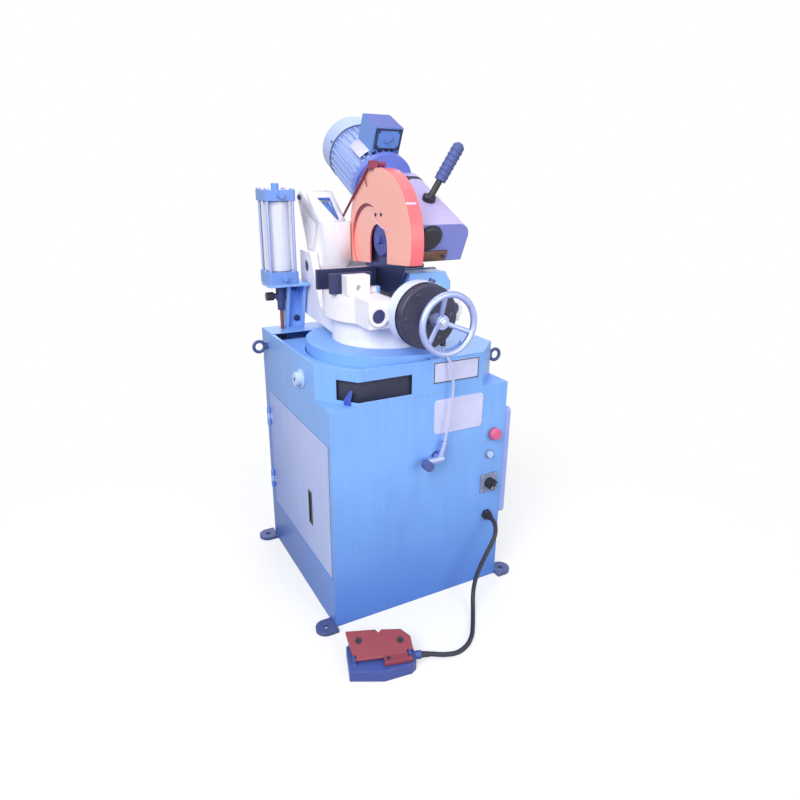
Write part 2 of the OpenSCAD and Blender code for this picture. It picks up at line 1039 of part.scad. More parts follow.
module pedal_treadle() {
    color(red)
        on_pedal() {
            along_x(-pedal_w / 2 + ear_inset - pedal_wall, treadle_hinge_y, treadle_hinge_z)
                cylinder(r = treadle_pin_r, h = pedal_w - 2 * ear_inset + 2 * pedal_wall);
            translate([0, treadle_hinge_y, treadle_hinge_z]) {
                rotate([treadle_tilt, 0, 0])
                    translate([0, 0, treadle_pin_r - treadle_t])
                        linear_extrude(treadle_t)
                            polygon(treadle_plan);
                translate([0, 0, treadle_pin_r - treadle_t])
                    linear_extrude(treadle_t)
                        polygon(tab_plan);
            }
        }
}

module air_valve() {
    tip = hose_end;
    color(steel) {
        along_y(valve_at[0], valve_y, valve_at[1])
            cylinder(r = valve_foot_r, h = front - valve_y);
        along_x(valve_at[0] - valve_len, valve_y, valve_at[1])
            cylinder(r = valve_r, h = valve_len + valve_r);
        translate([valve_at[0], valve_y, valve_at[1]])
            rotate([0, atan((tip[0] - valve_at[0]) / (tip[2] - valve_at[1])), 0])
                cylinder(r = valve_elbow_r, h = norm([tip[0] - valve_at[0], tip[2] - valve_at[1]]));
    }
}

module air_knob() {
    color(dark)
        along_y(valve_at[0] - valve_len, valve_y - valve_r - seat - air_knob_len, valve_at[1])
            cylinder(r = air_knob_r, h = air_knob_len, $fn = 24);
}

module air_hose() {
    color("#dfe8f5")
        tube_along(route_points(hose_route, 4), hose_d / 2, 10, [1, 0, 0]);
}

module tank_bracket() {
    color(blue) {
        box(plate_x - plate_w / 2, plate_x + plate_w / 2, plate_y - plate_t, plate_y,
            plate_z0, shelf_z);
        difference() {
            box(tank_x - cap_w / 2, plate_x + plate_w / 2, tank_y - cap_w / 2, plate_y,
                shelf_z - shelf_t, shelf_z);
            translate([tank_x, tank_y, shelf_z - shelf_t - over])
                cylinder(r = port_r + run_fit, h = shelf_t + 2 * over);
        }
        for (i = [-1, 1])
            slab(plate_x + i * (plate_w - plate_t) / 2 - plate_t / 2,
                plate_x + i * (plate_w - plate_t) / 2 + plate_t / 2, [
                [plate_y, shelf_z - shelf_t], [tank_y - cap_w / 4, shelf_z - shelf_t],
                [plate_y, plate_z0]
            ]);
    }
}

module tank_caps() {
    top = shelf_z + cap_low_h + tube_len;
    color(blue)
        difference() {
            union() {
                translate([tank_x, tank_y, shelf_z])
                    rounded_plate(cap_w, cap_w, cap_low_h, cap_corner);
                translate([tank_x, tank_y, top])
                    rounded_plate(cap_w, cap_w, cap_top_h, cap_corner);
                translate([tank_x, tank_y, top + cap_top_h])
                    cylinder(r = stub_r, h = stub_h);
                for (z = [shelf_z + cap_low_h / 2, top + cap_top_h / 2])
                    along_y(tank_x, tank_y - cap_w / 2 - port_len, z)
                        cylinder(r = port_r, h = port_len);
            }
            for (i = [-1, 1], j = [-1, 1])
                translate([tank_x + i * rod_at, tank_y + j * rod_at, shelf_z + cap_low_h / 2])
                    cylinder(r = rod_r + run_fit, h = tube_len + cap_low_h + cap_top_h);
        }
}

module tank_tube() {
    color("#e4ecf4")
        translate([tank_x, tank_y, shelf_z + cap_low_h])
            ring(tube_r, tube_r - tube_wall, tube_len);
}

module tank_rods() {
    color(steel)
        for (i = [-1, 1], j = [-1, 1])
            translate([tank_x + i * rod_at, tank_y + j * rod_at, shelf_z + cap_low_h / 2]) {
                cylinder(r = rod_r, h = tube_len + cap_low_h / 2 + cap_top_h + rod_r);
                translate([0, 0, tube_len + cap_low_h / 2 + cap_top_h])
                    cylinder(r = rod_nut_r, h = rod_r, $fn = 6);
            }
}

module flow_valve() {
    color(brass) {
        translate([tank_x, tank_y, shelf_z - shelf_t - flow_len])
            cylinder(r = flow_r, h = flow_len);
        translate([tank_x, tank_y, shelf_z - shelf_t - over])
            cylinder(r = port_r, h = shelf_t + over);
        along_x(tank_x - cap_w / 4, tank_y, flow_z - flow_r / 2)
            cylinder(r = flow_arm_r, h = cap_w / 4);
        translate([tank_x, tank_y, tray_floor])
            cylinder(r = feed_r, h = shelf_z - shelf_t - flow_len - tray_floor + over);
    }
}

module flow_knob() {
    color(dark)
        along_x(tank_x - cap_w / 4 - seat - flow_knob_len, tank_y, flow_z - flow_r / 2)
            cylinder(r = flow_knob_r, h = flow_knob_len, $fn = 24);
}

// coolant tank with an open well, and the pump that stands on it
module coolant_supply() {
    color(grey) {
        difference() {
            box(coolant_x, coolant_x + coolant_w, coolant_y, coolant_y + coolant_d,
                sheet, sheet + coolant_h);
            box(coolant_x + coolant_wall, coolant_x + coolant_w - coolant_wall,
                coolant_y + coolant_wall, coolant_y + coolant_d - coolant_wall,
                sheet + coolant_wall, sheet + coolant_h - coolant_wall);
            box(coolant_x + coolant_w - coolant_wall - well_w, coolant_x + coolant_w - coolant_wall,
                coolant_y + coolant_wall, coolant_y + coolant_d - coolant_wall,
                coolant_h - coolant_wall, sheet + coolant_h + over);
            translate([coolant_x + coolant_w / 2, coolant_y + coolant_d / 2, sheet + coolant_wall])
                cylinder(r = pump_r, h = coolant_h);
        }
        translate([coolant_x + coolant_w / 2, coolant_y + coolant_d / 2, sheet + coolant_h + seat]) {
            cylinder(r = pump_foot_r, h = pump_foot_t);
            cylinder(r = pump_r, h = pump_h);
            translate([0, 0, pump_h])
                cylinder(r1 = pump_r, r2 = pump_top_r, h = pump_foot_t);
            translate([0, 0, -coolant_h / 2])
                cylinder(r = pump_r / 2, h = coolant_h / 2 + over);
        }
    }
}

module vise_bed() {
    color(cream)
        difference() {
            union() {
                translate([0, swivel_y, bed_z0])
                    cylinder(r = bed_r, h = bed_z - bed_z0);
                box(-front_block_w / 2, front_block_w / 2, bed_front, swivel_y, bed_z0, bed_z);
                // round mount of the vise cylinder
                along_y(0, bed_front - mount_len, vise_z)
                    cylinder(r = mount_r, h = mount_len);
                // fences behind the rear jaws
                box(-fence_out, -fence_in, jaw_t + seat, jaw_t + seat + fence_t, bed_z - over,
                    bed_z + fence_h);
                box(fence_right_in, fence_out, jaw_t + seat, jaw_t + seat + fence_t, bed_z - over,
                    bed_z + fence_h);
                // bosses of the guide rods
                for (i = [-1, 1])
                    along_y(i * guide_x, bed_front - guide_proud, vise_z)
                        cylinder(r = guide_boss_r, h = guide_proud + over);
            }
            box(-channel_w / 2, channel_w / 2, bed_front + front_wall, channel_y1, channel_z, bed_z + over);
            box(-chip_w / 2, chip_w / 2, chip_y0, chip_y1, bed_z0 - over, bed_z + over);
            along_y(0, bed_front - mount_len - over, vise_z)
                cylinder(r = screw_r + run_fit, h = tail_y - bed_front + mount_len);
            for (i = [-1, 1])
                along_y(i * guide_x, bed_front - guide_proud - over, vise_z)
                    cylinder(r = guide_r + run_fit, h = guide_proud + mount_len + over);
        }
}

module guide_rods() {
    color(dark)
        for (i = [-1, 1])
            along_y(i * guide_x, bed_front - guide_proud / 2, vise_z)
                cylinder(r = guide_r, h = guide_proud / 2 + mount_len);
}

module rear_jaws() {
    color(dark) {
        box(-rear_left_in - rear_left_len, -rear_left_in, 0, jaw_t, jaw_z0, jaw_z1);
        box(rear_right_in, rear_right_in + rear_right_len, 0, jaw_t, jaw_z0, jaw_z1);
    }
}

module vise_cylinder() {
    color(black)
        difference() {
            union() {
                along_y(0, cyl_y1, vise_z)
                    cylinder(r1 = cyl_r - cap_bolt_r / 2, r2 = cyl_r, h = cap_bolt_r / 2);
                along_y(0, cyl_y1 + cap_bolt_r / 2, vise_z)
                    cylinder(r = cyl_r, h = cyl_len - cap_bolt_r / 2);
                along_y(0, cyl_y1 - gland_boss, vise_z)
                    cylinder(r = gland_boss_r, h = gland_boss + over);
                for (a = [0:60:300])
                    along_y(cap_bolt_circle_r * cos(a), cyl_y1 - cap_bolt_r / 2,
                        vise_z + cap_bolt_circle_r * sin(a))
                        cylinder(r = cap_bolt_r, h = cap_bolt_r);
                // port of the air hose
                translate([hose_route[0][0], hose_route[0][1], hose_route[0][2]])
                    cylinder(r = port_stub_r, h = vise_z - cyl_r / 2 - hose_route[0][2]);
            }
            along_y(0, cyl_y1 - gland_boss - over, vise_z)
                cylinder(r = screw_r + run_fit, h = gland_boss + cyl_len + 2 * over);
        }
}

module vise_screw() {
    color(steel)
        along_y(0, wheel_y + hub_back, vise_z)
            cylinder(r = screw_r, h = screw_tip_y - wheel_y - hub_back);
}

module handwheel() {
    color(steel) {
        along_y(0, wheel_y, vise_z)
            rotate_extrude($fn = 72)
                translate([wheel_r, 0])
                    circle(r = rim_r, $fn = 24);
        difference() {
            along_y(0, wheel_y + hub_back - hub_len / 2, vise_z)
                cylinder(r = hub_r, h = hub_len);
            along_y(0, wheel_y + hub_back - seat, vise_z)
                cylinder(r = screw_r + run_fit, h = hub_len);
        }
        for (k = [0:spokes - 1])
            translate([0, wheel_y + hub_back, vise_z])
                rotate([0, 360 * k / spokes + spoke_turn, 0])
                    rotate([atan(hub_back / wheel_r), 0, 0])
                        translate([0, 0, (screw_r + hub_r) / 2])
                            cylinder(r = spoke_r, h = norm([wheel_r, hub_back]) - (screw_r + hub_r) / 2);
    }
}

module jaw_slide() {
    color(blue)
        difference() {
            union() {
                box(-slide_w / 2, slide_w / 2, slide_y0, riser_y1, slide_z0, slide_z1);
                for (i = [-1, 1])
                    box(min(i * (slide_w / 2 - riser_t), i * slide_w / 2),
                        max(i * (slide_w / 2 - riser_t), i * slide_w / 2),
                        riser_y0, riser_y1, slide_z0, riser_z);
            }
            along_y(0, slide_y0 - over, vise_z)
                cylinder(r = screw_r + run_fit, h = riser_y1 - slide_y0 + 2 * over);
        }
}

module left_carrier() {
    y1 = riser_y1;
    x1 = -slide_w / 2 - seat;
    color(cream)
        difference() {
            union() {
                box(-carrier_out, x1, y1 - carrier_depth / 2, y1, carrier_z0, carrier_z0 + carrier_foot);
                box(-carrier_out, -carrier_in, y1 - carrier_depth, y1, carrier_z0, carrier_z0 + carrier_h);
            }
            along_y(-(carrier_out + carrier_in) / 2, y1 - carrier_depth - over, carrier_z0 + carrier_bore_z)
                cylinder(r = carrier_bore_r, h = carrier_depth / 2);
        }
}

module right_carrier() {
    y1 = riser_y1;
    x0 = slide_w / 2 + seat;
    color(blue)
        translate([0, y1, 0])
            rotate([90, 0, 0])
                linear_extrude(casting_depth)
                    polygon([
                        [x0, carrier_z0], [casting_out, carrier_z0],
                        [casting_out, carrier_z0 + casting_side_h],
                        [casting_shoulder, carrier_z0 + carrier_h], [front_right_in, carrier_z0 + carrier_h],
                        [front_right_in, riser_z + seat], [x0, riser_z + seat]
                    ]);
}

module front_jaws() {
    y0 = -vise_open - jaw_t;
    color(dark) {
        box(-front_left_in - front_left_len, -front_left_in, y0, y0 + jaw_t, jaw_z0, jaw_z1);
        box(front_right_in, front_right_in + front_right_len, y0, y0 + jaw_t, riser_z + seat, jaw_z1);
        box(slide_w / 2 + seat, front_right_in + front_right_len, y0, y0 + jaw_t, jaw_z0, jaw_z1);
    }
}

module pedestal_cheek(x) {
    slab(x, x + cheek_t, [
        [ped_y0, ped_z0], [ped_y1, ped_tail_z], [ped_y1, ped_top], [ped_shoulder_y, ped_top],
        [ped_knee_y, ring_z1], [ped_y0, ring_z1]
    ]);
}

module turntable() {
    inside = ped_w / 2 - cheek_t;
    color(cream) {
        difference() {
            union() {
                translate([0, swivel_y, ring_z0])
                    ring(ring_r, ring_in, ring_h);
                difference() {
                    for (x = [-ped_w / 2, inside])
                        pedestal_cheek(x);
                    translate([0, swivel_y, ring_z0 - over])
                        cylinder(r = ring_in, h = ring_h + 2 * over);
                }
                box(-inside - over, inside + over, ped_y1 - ped_web_t, ped_y1, ped_tail_z, ped_web_z);
                difference() {
                    box(-inside - over, inside + over, ped_knee_y - ped_web_t, ped_y1, ped_tail_z,
                        ped_tail_z + ped_floor_t);
                    translate([0, swivel_y, ring_z0 - over])
                        cylinder(r = ring_in, h = ring_h + 2 * over);
                }
                // lugs of the lower spring pin
                for (i = [-1, 1])
                    box(spring_x + i * anchor_lug_gap / 2 - anchor_lug_t / 2,
                        spring_x + i * anchor_lug_gap / 2 + anchor_lug_t / 2,
                        ped_y1 - over, anchor_y + anchor_lug_h / 3,
                        anchor_z - anchor_lug_h / 2, anchor_z + anchor_lug_h / 2);
                along_x(spring_x - anchor_lug_gap / 2, anchor_y, anchor_z)
                    cylinder(r = pin_r, h = anchor_lug_gap);
            }
            along_x(-ped_w / 2 - over, pivot_y, pivot_z)
                cylinder(r = pivot_r + run_fit, h = ped_w + 2 * over);
        }
    }
}

module pivot_shaft() {
    color(dark)
        along_x(-ped_w / 2 + pass, pivot_y, pivot_z)
            cylinder(r = pivot_r, h = ped_w - 2 * pass);
}

spring_len = norm([hook_y - anchor_y, hook_z - anchor_z]);
spring_lean = -atan((hook_y - anchor_y) / (hook_z - anchor_z));
function hook_arc(z, up) = [
    for (a = [0:30:180]) [0, hook_r * cos(a), z + up * hook_r * sin(a)]
];
function coil_points() = [
    for (k = [0:8 * curls])
        let (a = 90 + 360 * k / 8, t = k / (8 * curls))
        [coil_r * cos(a), coil_r * sin(a), hook_drop + t * (spring_len - 2 * hook_drop)]
];
function reversed(p) = [for (i = [len(p) - 1:-1:0]) p[i]];
spring_path = concat(reversed(hook_arc(0, -1)), coil_points(), hook_arc(spring_len, 1));
// least gap between neighbouring turns of the coil
turn_gaps = [
    for (k = [0:8 * (curls - 1)]) norm(coil_points()[k + 8] - coil_points()[k]) - 2 * wire_r
];
echo(least_spring_gap = min(turn_gaps));

module return_spring() {
    color(steel)
        translate([spring_x, anchor_y, anchor_z])
            rotate([spring_lean, 0, 0])
                tube_along(spring_path, wire_r, 6, [1, 0, 0]);
}

// outline of the triangular rear lever
function lever_outline() = [
    [lobe_back, lobe_z1], [hook_y - lever_r / 2, hook_z + lever_r * cos(30)],
    [hook_y + lever_r * cos(30), hook_z - lever_r / 2], [pivot_y + arm_hub_r, pivot_z],
    [pivot_y, pivot_z]
];
// the same outline drawn in towards its middle
function lever_inside() =
    let (p = lever_outline(), m = (p[0] + p[1] + p[2] + p[3] + p[4]) / len(p))
    [for (q = p) m + lever_rim_share * (q - m)];

// cheek of the rear lever with a pocket in its outer face
module lever_cheek(x, pocket_x) {
    difference() {
        union() {
            along_x(x, hook_y, hook_z)
                cylinder(r = lever_r, h = lever_t);
            slab(x, x + lever_t, lever_outline());
        }
        slab(pocket_x, pocket_x + lever_pocket + over, lever_inside());
    }
}

module head_arm() {
    back = pivot_y + arm_hub_r / 2;
    right_cheek = lobe_x0 + lever_in + lever_t;
    color(cream)
        difference() {
            union() {
                along_x(-hub_end, pivot_y, pivot_z)
                    cylinder(r = arm_hub_r, h = 2 * hub_end);
                slab(lobe_x0, lobe_mid_x, [
                    [lobe_y, lobe_z0], [lobe_y, lobe_z1], [lobe_back, lobe_z1], [back, pivot_z],
                    [pivot_y, pivot_z - arm_hub_r]
                ]);
                slab(lobe_mid_x - over, arm_x1, [
                    [lobe_mid_y, lobe_z0], [lobe_mid_y, lobe_z1], [lobe_back, lobe_z1], [back, pivot_z],
                    [pivot_y, pivot_z - arm_hub_r]
                ]);
                slab(arm_x0, arm_x1, [
                    [arm_y + seat, arm_z0], [arm_y + seat, arm_z1], [lobe_back, lobe_z1],
                    [pivot_y, pivot_z], [lobe_mid_y, lobe_z0]
                ]);
                lever_cheek(lobe_x0, lobe_x0 - over);
                lever_cheek(right_cheek, right_cheek + lever_t - lever_pocket);
                // web along the top of the lever
                slab(lobe_x0, right_cheek + lever_t, [
                    lever_outline()[0], lever_outline()[1] - [lever_r, 0] * 2,
                    lever_outline()[1] - [lever_r, lever_web_t / 2] * 2,
                    lever_outline()[0] - [0, lever_web_t]
                ]);
                // upper pin of the return spring
                along_x(lobe_x0, hook_y, hook_z)
                    cylinder(r = pin_r, h = lever_in + 2 * lever_t);
            }
            along_x(-hub_end - over, pivot_y, pivot_z)
                cylinder(r = pivot_r + run_fit, h = 2 * hub_end + 2 * over);
            pipe_run(pipe_r + run_fit);
        }
}

// cross-section of the gear housing with its round upper edge
function housing_outline() = concat(
    [[housing_x0, housing_n0], [housing_x1, housing_n0]],
    [
        for (a = [0:15:90])
            [housing_x1 - housing_round + housing_round * cos(a),
                housing_n1 - housing_round + housing_round * sin(a)]
    ],
    [[housing_x0, housing_n1]]
);

module gear_housing() {
    color(cream)
        difference() {
            union() {
                on_worm(0, housing_s1, 0)
                    rotate([90, 0, 0])
                        linear_extrude(housing_s1 - housing_s0)
                            polygon(housing_outline());
                along_x(housing_x0 + over, arbor_y, arbor_z)
                    cylinder(r = case_r, h = case_x1 - housing_x0 - over);
                box(arm_x0, arm_x1, arbor_y, arm_y, arm_z0, arm_z1);
            }
            // rooms of the wheel and the worm
            along_x(worm_x - gear_room_w / 2, arbor_y, arbor_z)
                cylinder(r = gear_room_r, h = gear_room_w);
            on_worm(worm_x, housing_s0 + cap_t, 0)
                rotate([-90, 0, 0])
                    cylinder(r = worm_room_r, h = housing_s1 - housing_s0);
            // seats of the arbor bearings
            along_x(housing_x0 - over, arbor_y, arbor_z)
                cylinder(r = arbor_r + pass, h = case_x1 - housing_x0);
            along_x(bearing_x0, arbor_y, arbor_z)
                cylinder(r = bearing_r + run_fit, h = arbor_end - bearing_x0);
            // slot across the top
            on_worm(vent_x, vent_s, housing_n1 - vent_depth)
                cube([vent_w, vent_len, vent_depth + over]);
        }
}

module housing_cap() {
    color(black)
        on_worm(worm_x, housing_s0, 0)
            rotate([90, 0, 0]) {
                cylinder(r = cap_r, h = cap_t / 2);
                translate([0, 0, cap_t / 2])
                    cylinder(r1 = cap_r, r2 = cap_r - cap_t / 2, h = cap_t / 2);
            }
}

module guard_disc(r, x0, x1) {
    along_x(x0, arbor_y, arbor_z)
        cylinder(r = r, h = x1 - x0, $fn = 96);
}

module blade_guard() {
    half = guard_w / 2;
    color(orange) {
        difference() {
            union() {
                difference() {
                    guard_disc(guard_r, -half, half);
                    guard_disc(guard_r - guard_wall, -half + guard_wall, half - guard_wall);
                }
                // thicker wall behind the recess
                along_x(-half + guard_wall / 2, arbor_y + recess_back, arbor_z - recess_down)
                    cylinder(r = recess_r + guard_wall, h = recess_wall - guard_wall / 2);
            }
            slab(-half - over, half + over, [
                [arbor_y - guard_r, guard_low_front], [arbor_y + guard_r, guard_low_back],
                [arbor_y + guard_r, arbor_z - guard_r - over],
                [arbor_y - guard_r, arbor_z - guard_r - over]
            ]);
            along_x(-half - over, arbor_y, guard_arch_z)
                cylinder(r = guard_arch_r, h = guard_w + 2 * over);
            box(-half - over, half + over, arbor_y - guard_arch_r, arbor_y + guard_arch_r,
                arbor_z - guard_r - over, guard_arch_z);
            // sunken face that deepens towards the back
            translate([-half, arbor_y + recess_back, arbor_z - recess_down])
                rotate([0, 0, -recess_lean])
                    along_x(-2 * recess_depth, 0, 0)
                        cylinder(r = recess_r, h = 3 * recess_depth);
        }
        for (i = [-1, 1])
            on_worm(half, i * pad_s, pad_n)
                rotate([0, 90, 0])
                    translate([0, 0, -guard_wall / 2])
                        cylinder(r = pad_r, h = head_gap + guard_wall / 2);
    }
}

// straight coolant pipe from the arm up to the guard
module pipe_run(r) {
    rise = pipe_top_z - pipe_low_z;
    run = pipe_low_y - pipe_top_y;
    translate([pipe_x, pipe_low_y, pipe_low_z])
        rotate([atan(run / rise), 0, 0])
            cylinder(r = r, h = norm([run, rise]), $fn = 24);
}

module coolant_pipe() {
    color(brass) {
        pipe_run(pipe_r);
        difference() {
            box(pipe_x - fitting_w / 3, pipe_x + fitting_w,
                pipe_top_y - fitting_w, pipe_top_y + fitting_w / 4,
                pipe_top_z - fitting_h, pipe_top_z + fitting_h / 2);
            guard_disc(guard_r + seat, -guard_w / 2 - seat, guard_w);
        }
    }
}

module motor_body() {
    color(grey)
        on_worm(worm_x, motor_s0, 0)
            rotate([-90, 0, 0])
                difference() {
                    union() {
                        cylinder(r = motor_r, h = flange_len);
                        cylinder(r = core_r, h = motor_len);
                        for (k = [0:fins - 1])
                            rotate([0, 0, 360 * k / fins])
                                translate([core_r - over, -fin_t / 2, flange_len / 2])
                                    cube([motor_r - core_r + over, fin_t, motor_len - flange_len]);
                    }
                    translate([0, 0, -over])
                        cylinder(r = worm_room_r, h = shaft_back - motor_s0 + 2 * over);
                }
}

module fan_cowl() {
    color(grey)
        on_worm(worm_x, motor_s1 + seat, 0)
            rotate([-90, 0, 0])
                difference() {
                    union() {
                        cylinder(r = motor_r, h = cowl_len - cowl_wall);
                        translate([0, 0, cowl_len - cowl_wall])
                            cylinder(r1 = motor_r, r2 = motor_r - 2 * cowl_wall, h = cowl_wall);
                    }
                    translate([0, 0, cowl_wall])
                        cylinder(r = motor_r - cowl_wall, h = cowl_len - 2 * cowl_wall);
                    for (k = [0:cowl_slots - 1])
                        rotate([0, 0, 360 * k / cowl_slots])
                            translate([cowl_slot_in, -cowl_slot_w / 2, cowl_len - 2 * cowl_wall])
                                cube([cowl_slot_out - cowl_slot_in, cowl_slot_w, 2 * cowl_wall + over]);
                }
}

module terminal_box() {
    color(grey)
        difference() {
            on_worm(worm_x - box_w / 2, box_s, core_r / 2)
                cube([box_w, box_len, box_n - core_r / 2]);
            on_worm(worm_x - box_w / 2 + box_wall, box_s - over, motor_r + box_wall)
                cube([box_w - 2 * box_wall, box_len - box_wall, box_n - motor_r - 2 * box_wall]);
            on_worm(worm_x, motor_s0, 0)
                rotate([-90, 0, 0])
                    cylinder(r = motor_r + seat, h = motor_len);
        }
}

module box_lid() {
    color(grey)
        on_worm(worm_x, box_s, (motor_r + box_n) / 2)
            rotate([90, 0, 0]) {
                translate([0, 0, seat])
                    rounded_plate(box_w - 2 * lid_inset, box_n - motor_r - lid_inset, lid_t, lid_inset);
                rotate([0, 0, 35])
                    translate([-lid_bar_len / 2, -lid_bar_w / 2, lid_t])
                        cube([lid_bar_len, lid_bar_w, lid_bar_t]);
            }
}

// places a child at the foot of the handle, Z along the bar
module on_handle() {
    on_worm(handle_x, handle_s, housing_n1)
        rotate([-handle_back, handle_lean, 0])
            children();
}

module handle_bar() {
    color(dark) {
        on_worm(handle_x, handle_s, housing_n1)
            cylinder(r = handle_foot_r, h = handle_foot_t);
        on_handle()
            translate([0, 0, handle_foot_t / 2])
                cylinder(r = handle_r, h = handle_len - grip_r - 2 * over - handle_foot_t / 2);
    }
}

module handle_grip() {
    color(dark)
        on_handle()
            difference() {
                union() {
                    translate([0, 0, handle_len - grip_len])
                        cylinder(r = grip_r, h = grip_len - grip_round);
                    translate([0, 0, handle_len - grip_round])
                        cylinder(r1 = grip_r, r2 = grip_r - grip_round, h = grip_round);
                    for (k = [1:grip_ribs])
                        translate([0, 0, handle_len - grip_len + k * grip_step])
                            rotate_extrude()
                                translate([grip_r, 0])
                                    circle(r = grip_rib_r, $fn = 16);
                }
                translate([0, 0, handle_len - grip_len - over])
                    cylinder(r = handle_r + run_fit, h = grip_len - grip_r);
            }
}

module arbor_bearings() {
    color(steel)
        for (x = [bearing_x0, bearing_x1])
            along_x(x, arbor_y, arbor_z)
                ring(bearing_r, arbor_r + run_fit, bearing_w);
}

module arbor() {
    color(steel) {
        along_x(-blade_t / 2 - flange_t, arbor_y, arbor_z)
            cylinder(r = arbor_r, h = arbor_end + blade_t / 2 + flange_t);
        along_x(blade_t / 2, arbor_y, arbor_z)
            cylinder(r = inner_flange_r, h = flange_t);
        along_x(-blade_t / 2 - flange_t - bolt_h, arbor_y, arbor_z)
            cylinder(r = bolt_r, h = bolt_h + over, $fn = 6);
    }
}

module blade_flange() {
    color("#3c62b8")
        along_x(-blade_t / 2 - flange_t, arbor_y, arbor_z)
            difference() {
                union() {
                    cylinder(r1 = flange_r - flange_t / 3, r2 = flange_r, h = flange_t / 3);
                    translate([0, 0, flange_t / 3])
                        cylinder(r = flange_r, h = flange_t - flange_t / 3);
                }
                translate([0, 0, -over])
                    cylinder(r = arbor_r, h = flange_t + 2 * over);
            }
}

module saw_blade() {
    color(dark)
        along_x(-blade_t / 2, arbor_y, arbor_z)
            linear_extrude(blade_t)
                difference() {
                    polygon([
                        for (k = [0:blade_teeth - 1], j = [0, 1])
                            let (
                                a = 360 * (k + j * tooth_lead_share) / blade_teeth,
                                r = blade_r - j * tooth_depth
                            )
                            [r * cos(a), r * sin(a)]
                    ]);
                    circle(r = arbor_r);
                }
}

module worm_wheel() {
    pitch = 360 / wheel_teeth;
    color(brass)
        along_x(worm_x - wheel_face / 2, arbor_y, arbor_z)
            difference() {
                union() {
                    linear_extrude(wheel_face)
                        polygon([
                            for (k = [0:wheel_teeth - 1], j = [-1, 1], m = [0, 1])
                                let (
                                    tip = (j < 0) == (m == 1),
                                    a = pitch * (k + j * (tip ? tip_share : root_share)),
                                    r = tip ? wheel_out_r : wheel_root_r
                                )
                                [r * cos(a), r * sin(a)]
                        ]);
                    translate([0, 0, (wheel_face - wheel_hub_w) / 2])
                        cylinder(r = wheel_hub_r, h = wheel_hub_w);
                }
                translate([0, 0, -wheel_hub_w])
                    cylinder(r = arbor_r, h = 3 * wheel_hub_w);
            }
}

module worm_shaft() {
    ring_len = worm_len / worm_rings;
    color(steel)
        on_worm(worm_x, 0, 0)
            rotate([-90, 0, 0]) {
                translate([0, 0, housing_s0 + cap_t + pass])
                    cylinder(r = shaft_r, h = shaft_back - housing_s0 - cap_t - pass);
                for (k = [0:worm_rings - 1])
                    translate([0, 0, -worm_len / 2 + k * ring_len]) {
                        cylinder(r1 = worm_root_r, r2 = worm_out_r, h = ring_len / 2);
                        translate([0, 0, ring_len / 2])
                            cylinder(r1 = worm_out_r, r2 = worm_root_r, h = ring_len / 2);
                    }
            }
}

module door_panel() {
    color(blue) {
        difference() {
            box(left, left + door_t, door_y0, door_y1, door_z, door_z + door_h);
            box(left - over, left + door_t + over, pull_y - pull_w / 2, pull_y + pull_w / 2,
                pull_z, pull_z + pull_h);
        }
        for (z = hinge_z()) {
            box(left - leaf_t, left, hinge_y - leaf_w, hinge_y - hinge_r / 2, z + hinge_third + seat,
                z + 2 * hinge_third - seat);
            translate([hinge_x, hinge_y, z + hinge_third + seat])
                ring(hinge_r, hinge_pin_r + run_fit, hinge_third - 2 * seat);
        }
    }
}

module door_pull() {
    z = pull_z;
    color(black)
        difference() {
            union() {
                box(left - pull_wall, left,
                    pull_y - pull_w / 2 - pull_flange, pull_y + pull_w / 2 + pull_flange,
                    z - pull_flange, z + pull_h + pull_flange);
                box(left - over, left + pull_depth,
                    pull_y - pull_w / 2 + run_fit, pull_y + pull_w / 2 - run_fit,
                    z + run_fit, z + pull_h - run_fit);
            }
            box(left - pull_wall - over, left + pull_depth - pull_wall, pull_y - pull_w / 2 + pull_wall,
                pull_y + pull_w / 2 - pull_wall, z + pull_wall, z + pull_h - pull_wall);
        }
}

cabinet_shell();
cabinet_side();
chip_tray();
plinth();
anchor_ears();
lifting_eyes();
tray_plug();
hinge_leaves();
electrical_cover();
name_plates();
control_collars();
cable_gland();
foot_cable();
pedal_base();
air_valve();
air_knob();
air_hose();
tank_bracket();
tank_caps();
tank_tube();
tank_rods();
flow_valve();
flow_knob();
coolant_supply();
vise_bed();
rear_jaws();
vise_cylinder();
guide_rods();
turntable();
pivot_shaft();
return_spring();
head_arm();
gear_housing();
housing_cap();
blade_guard();
coolant_pipe();
motor_body();
fan_cowl();
terminal_box();
box_lid();
handle_bar();
handle_grip();
arbor_bearings();
arbor();
worm_wheel();
saw_blade();
blade_flange();
worm_shaft();
jaw_slide();
left_carrier();
right_carrier();
front_jaws();
handwheel();
vise_screw();
door_panel();
door_pull();
stop_button();
start_button();
selector_knob();
pedal_treadle();
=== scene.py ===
"""Looks of a cold saw on its cabinet stand: finishes, cords, spring, hardware and stage."""

import math

import bpy
from mathutils import Matrix, Vector


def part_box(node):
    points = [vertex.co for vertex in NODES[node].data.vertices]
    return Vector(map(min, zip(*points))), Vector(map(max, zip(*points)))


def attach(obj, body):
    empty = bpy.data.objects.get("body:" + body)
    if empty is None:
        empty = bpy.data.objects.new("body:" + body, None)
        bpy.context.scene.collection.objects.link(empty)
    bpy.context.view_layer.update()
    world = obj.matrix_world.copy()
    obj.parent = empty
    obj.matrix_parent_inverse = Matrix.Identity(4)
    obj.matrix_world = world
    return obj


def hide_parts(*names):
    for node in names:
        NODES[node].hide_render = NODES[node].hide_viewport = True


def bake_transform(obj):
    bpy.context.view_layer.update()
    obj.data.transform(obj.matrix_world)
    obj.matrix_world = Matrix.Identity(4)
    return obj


bl_info = {
    "name": "Cold saw looks",
    "version": (1, 0, 0),
    "blender": (4, 5, 0),
    "location": "View3D > Sidebar > Cold Saw",
    "description": "Builds the finishes, cords, spring and hardware of a cold saw",
    "category": "Object",
}

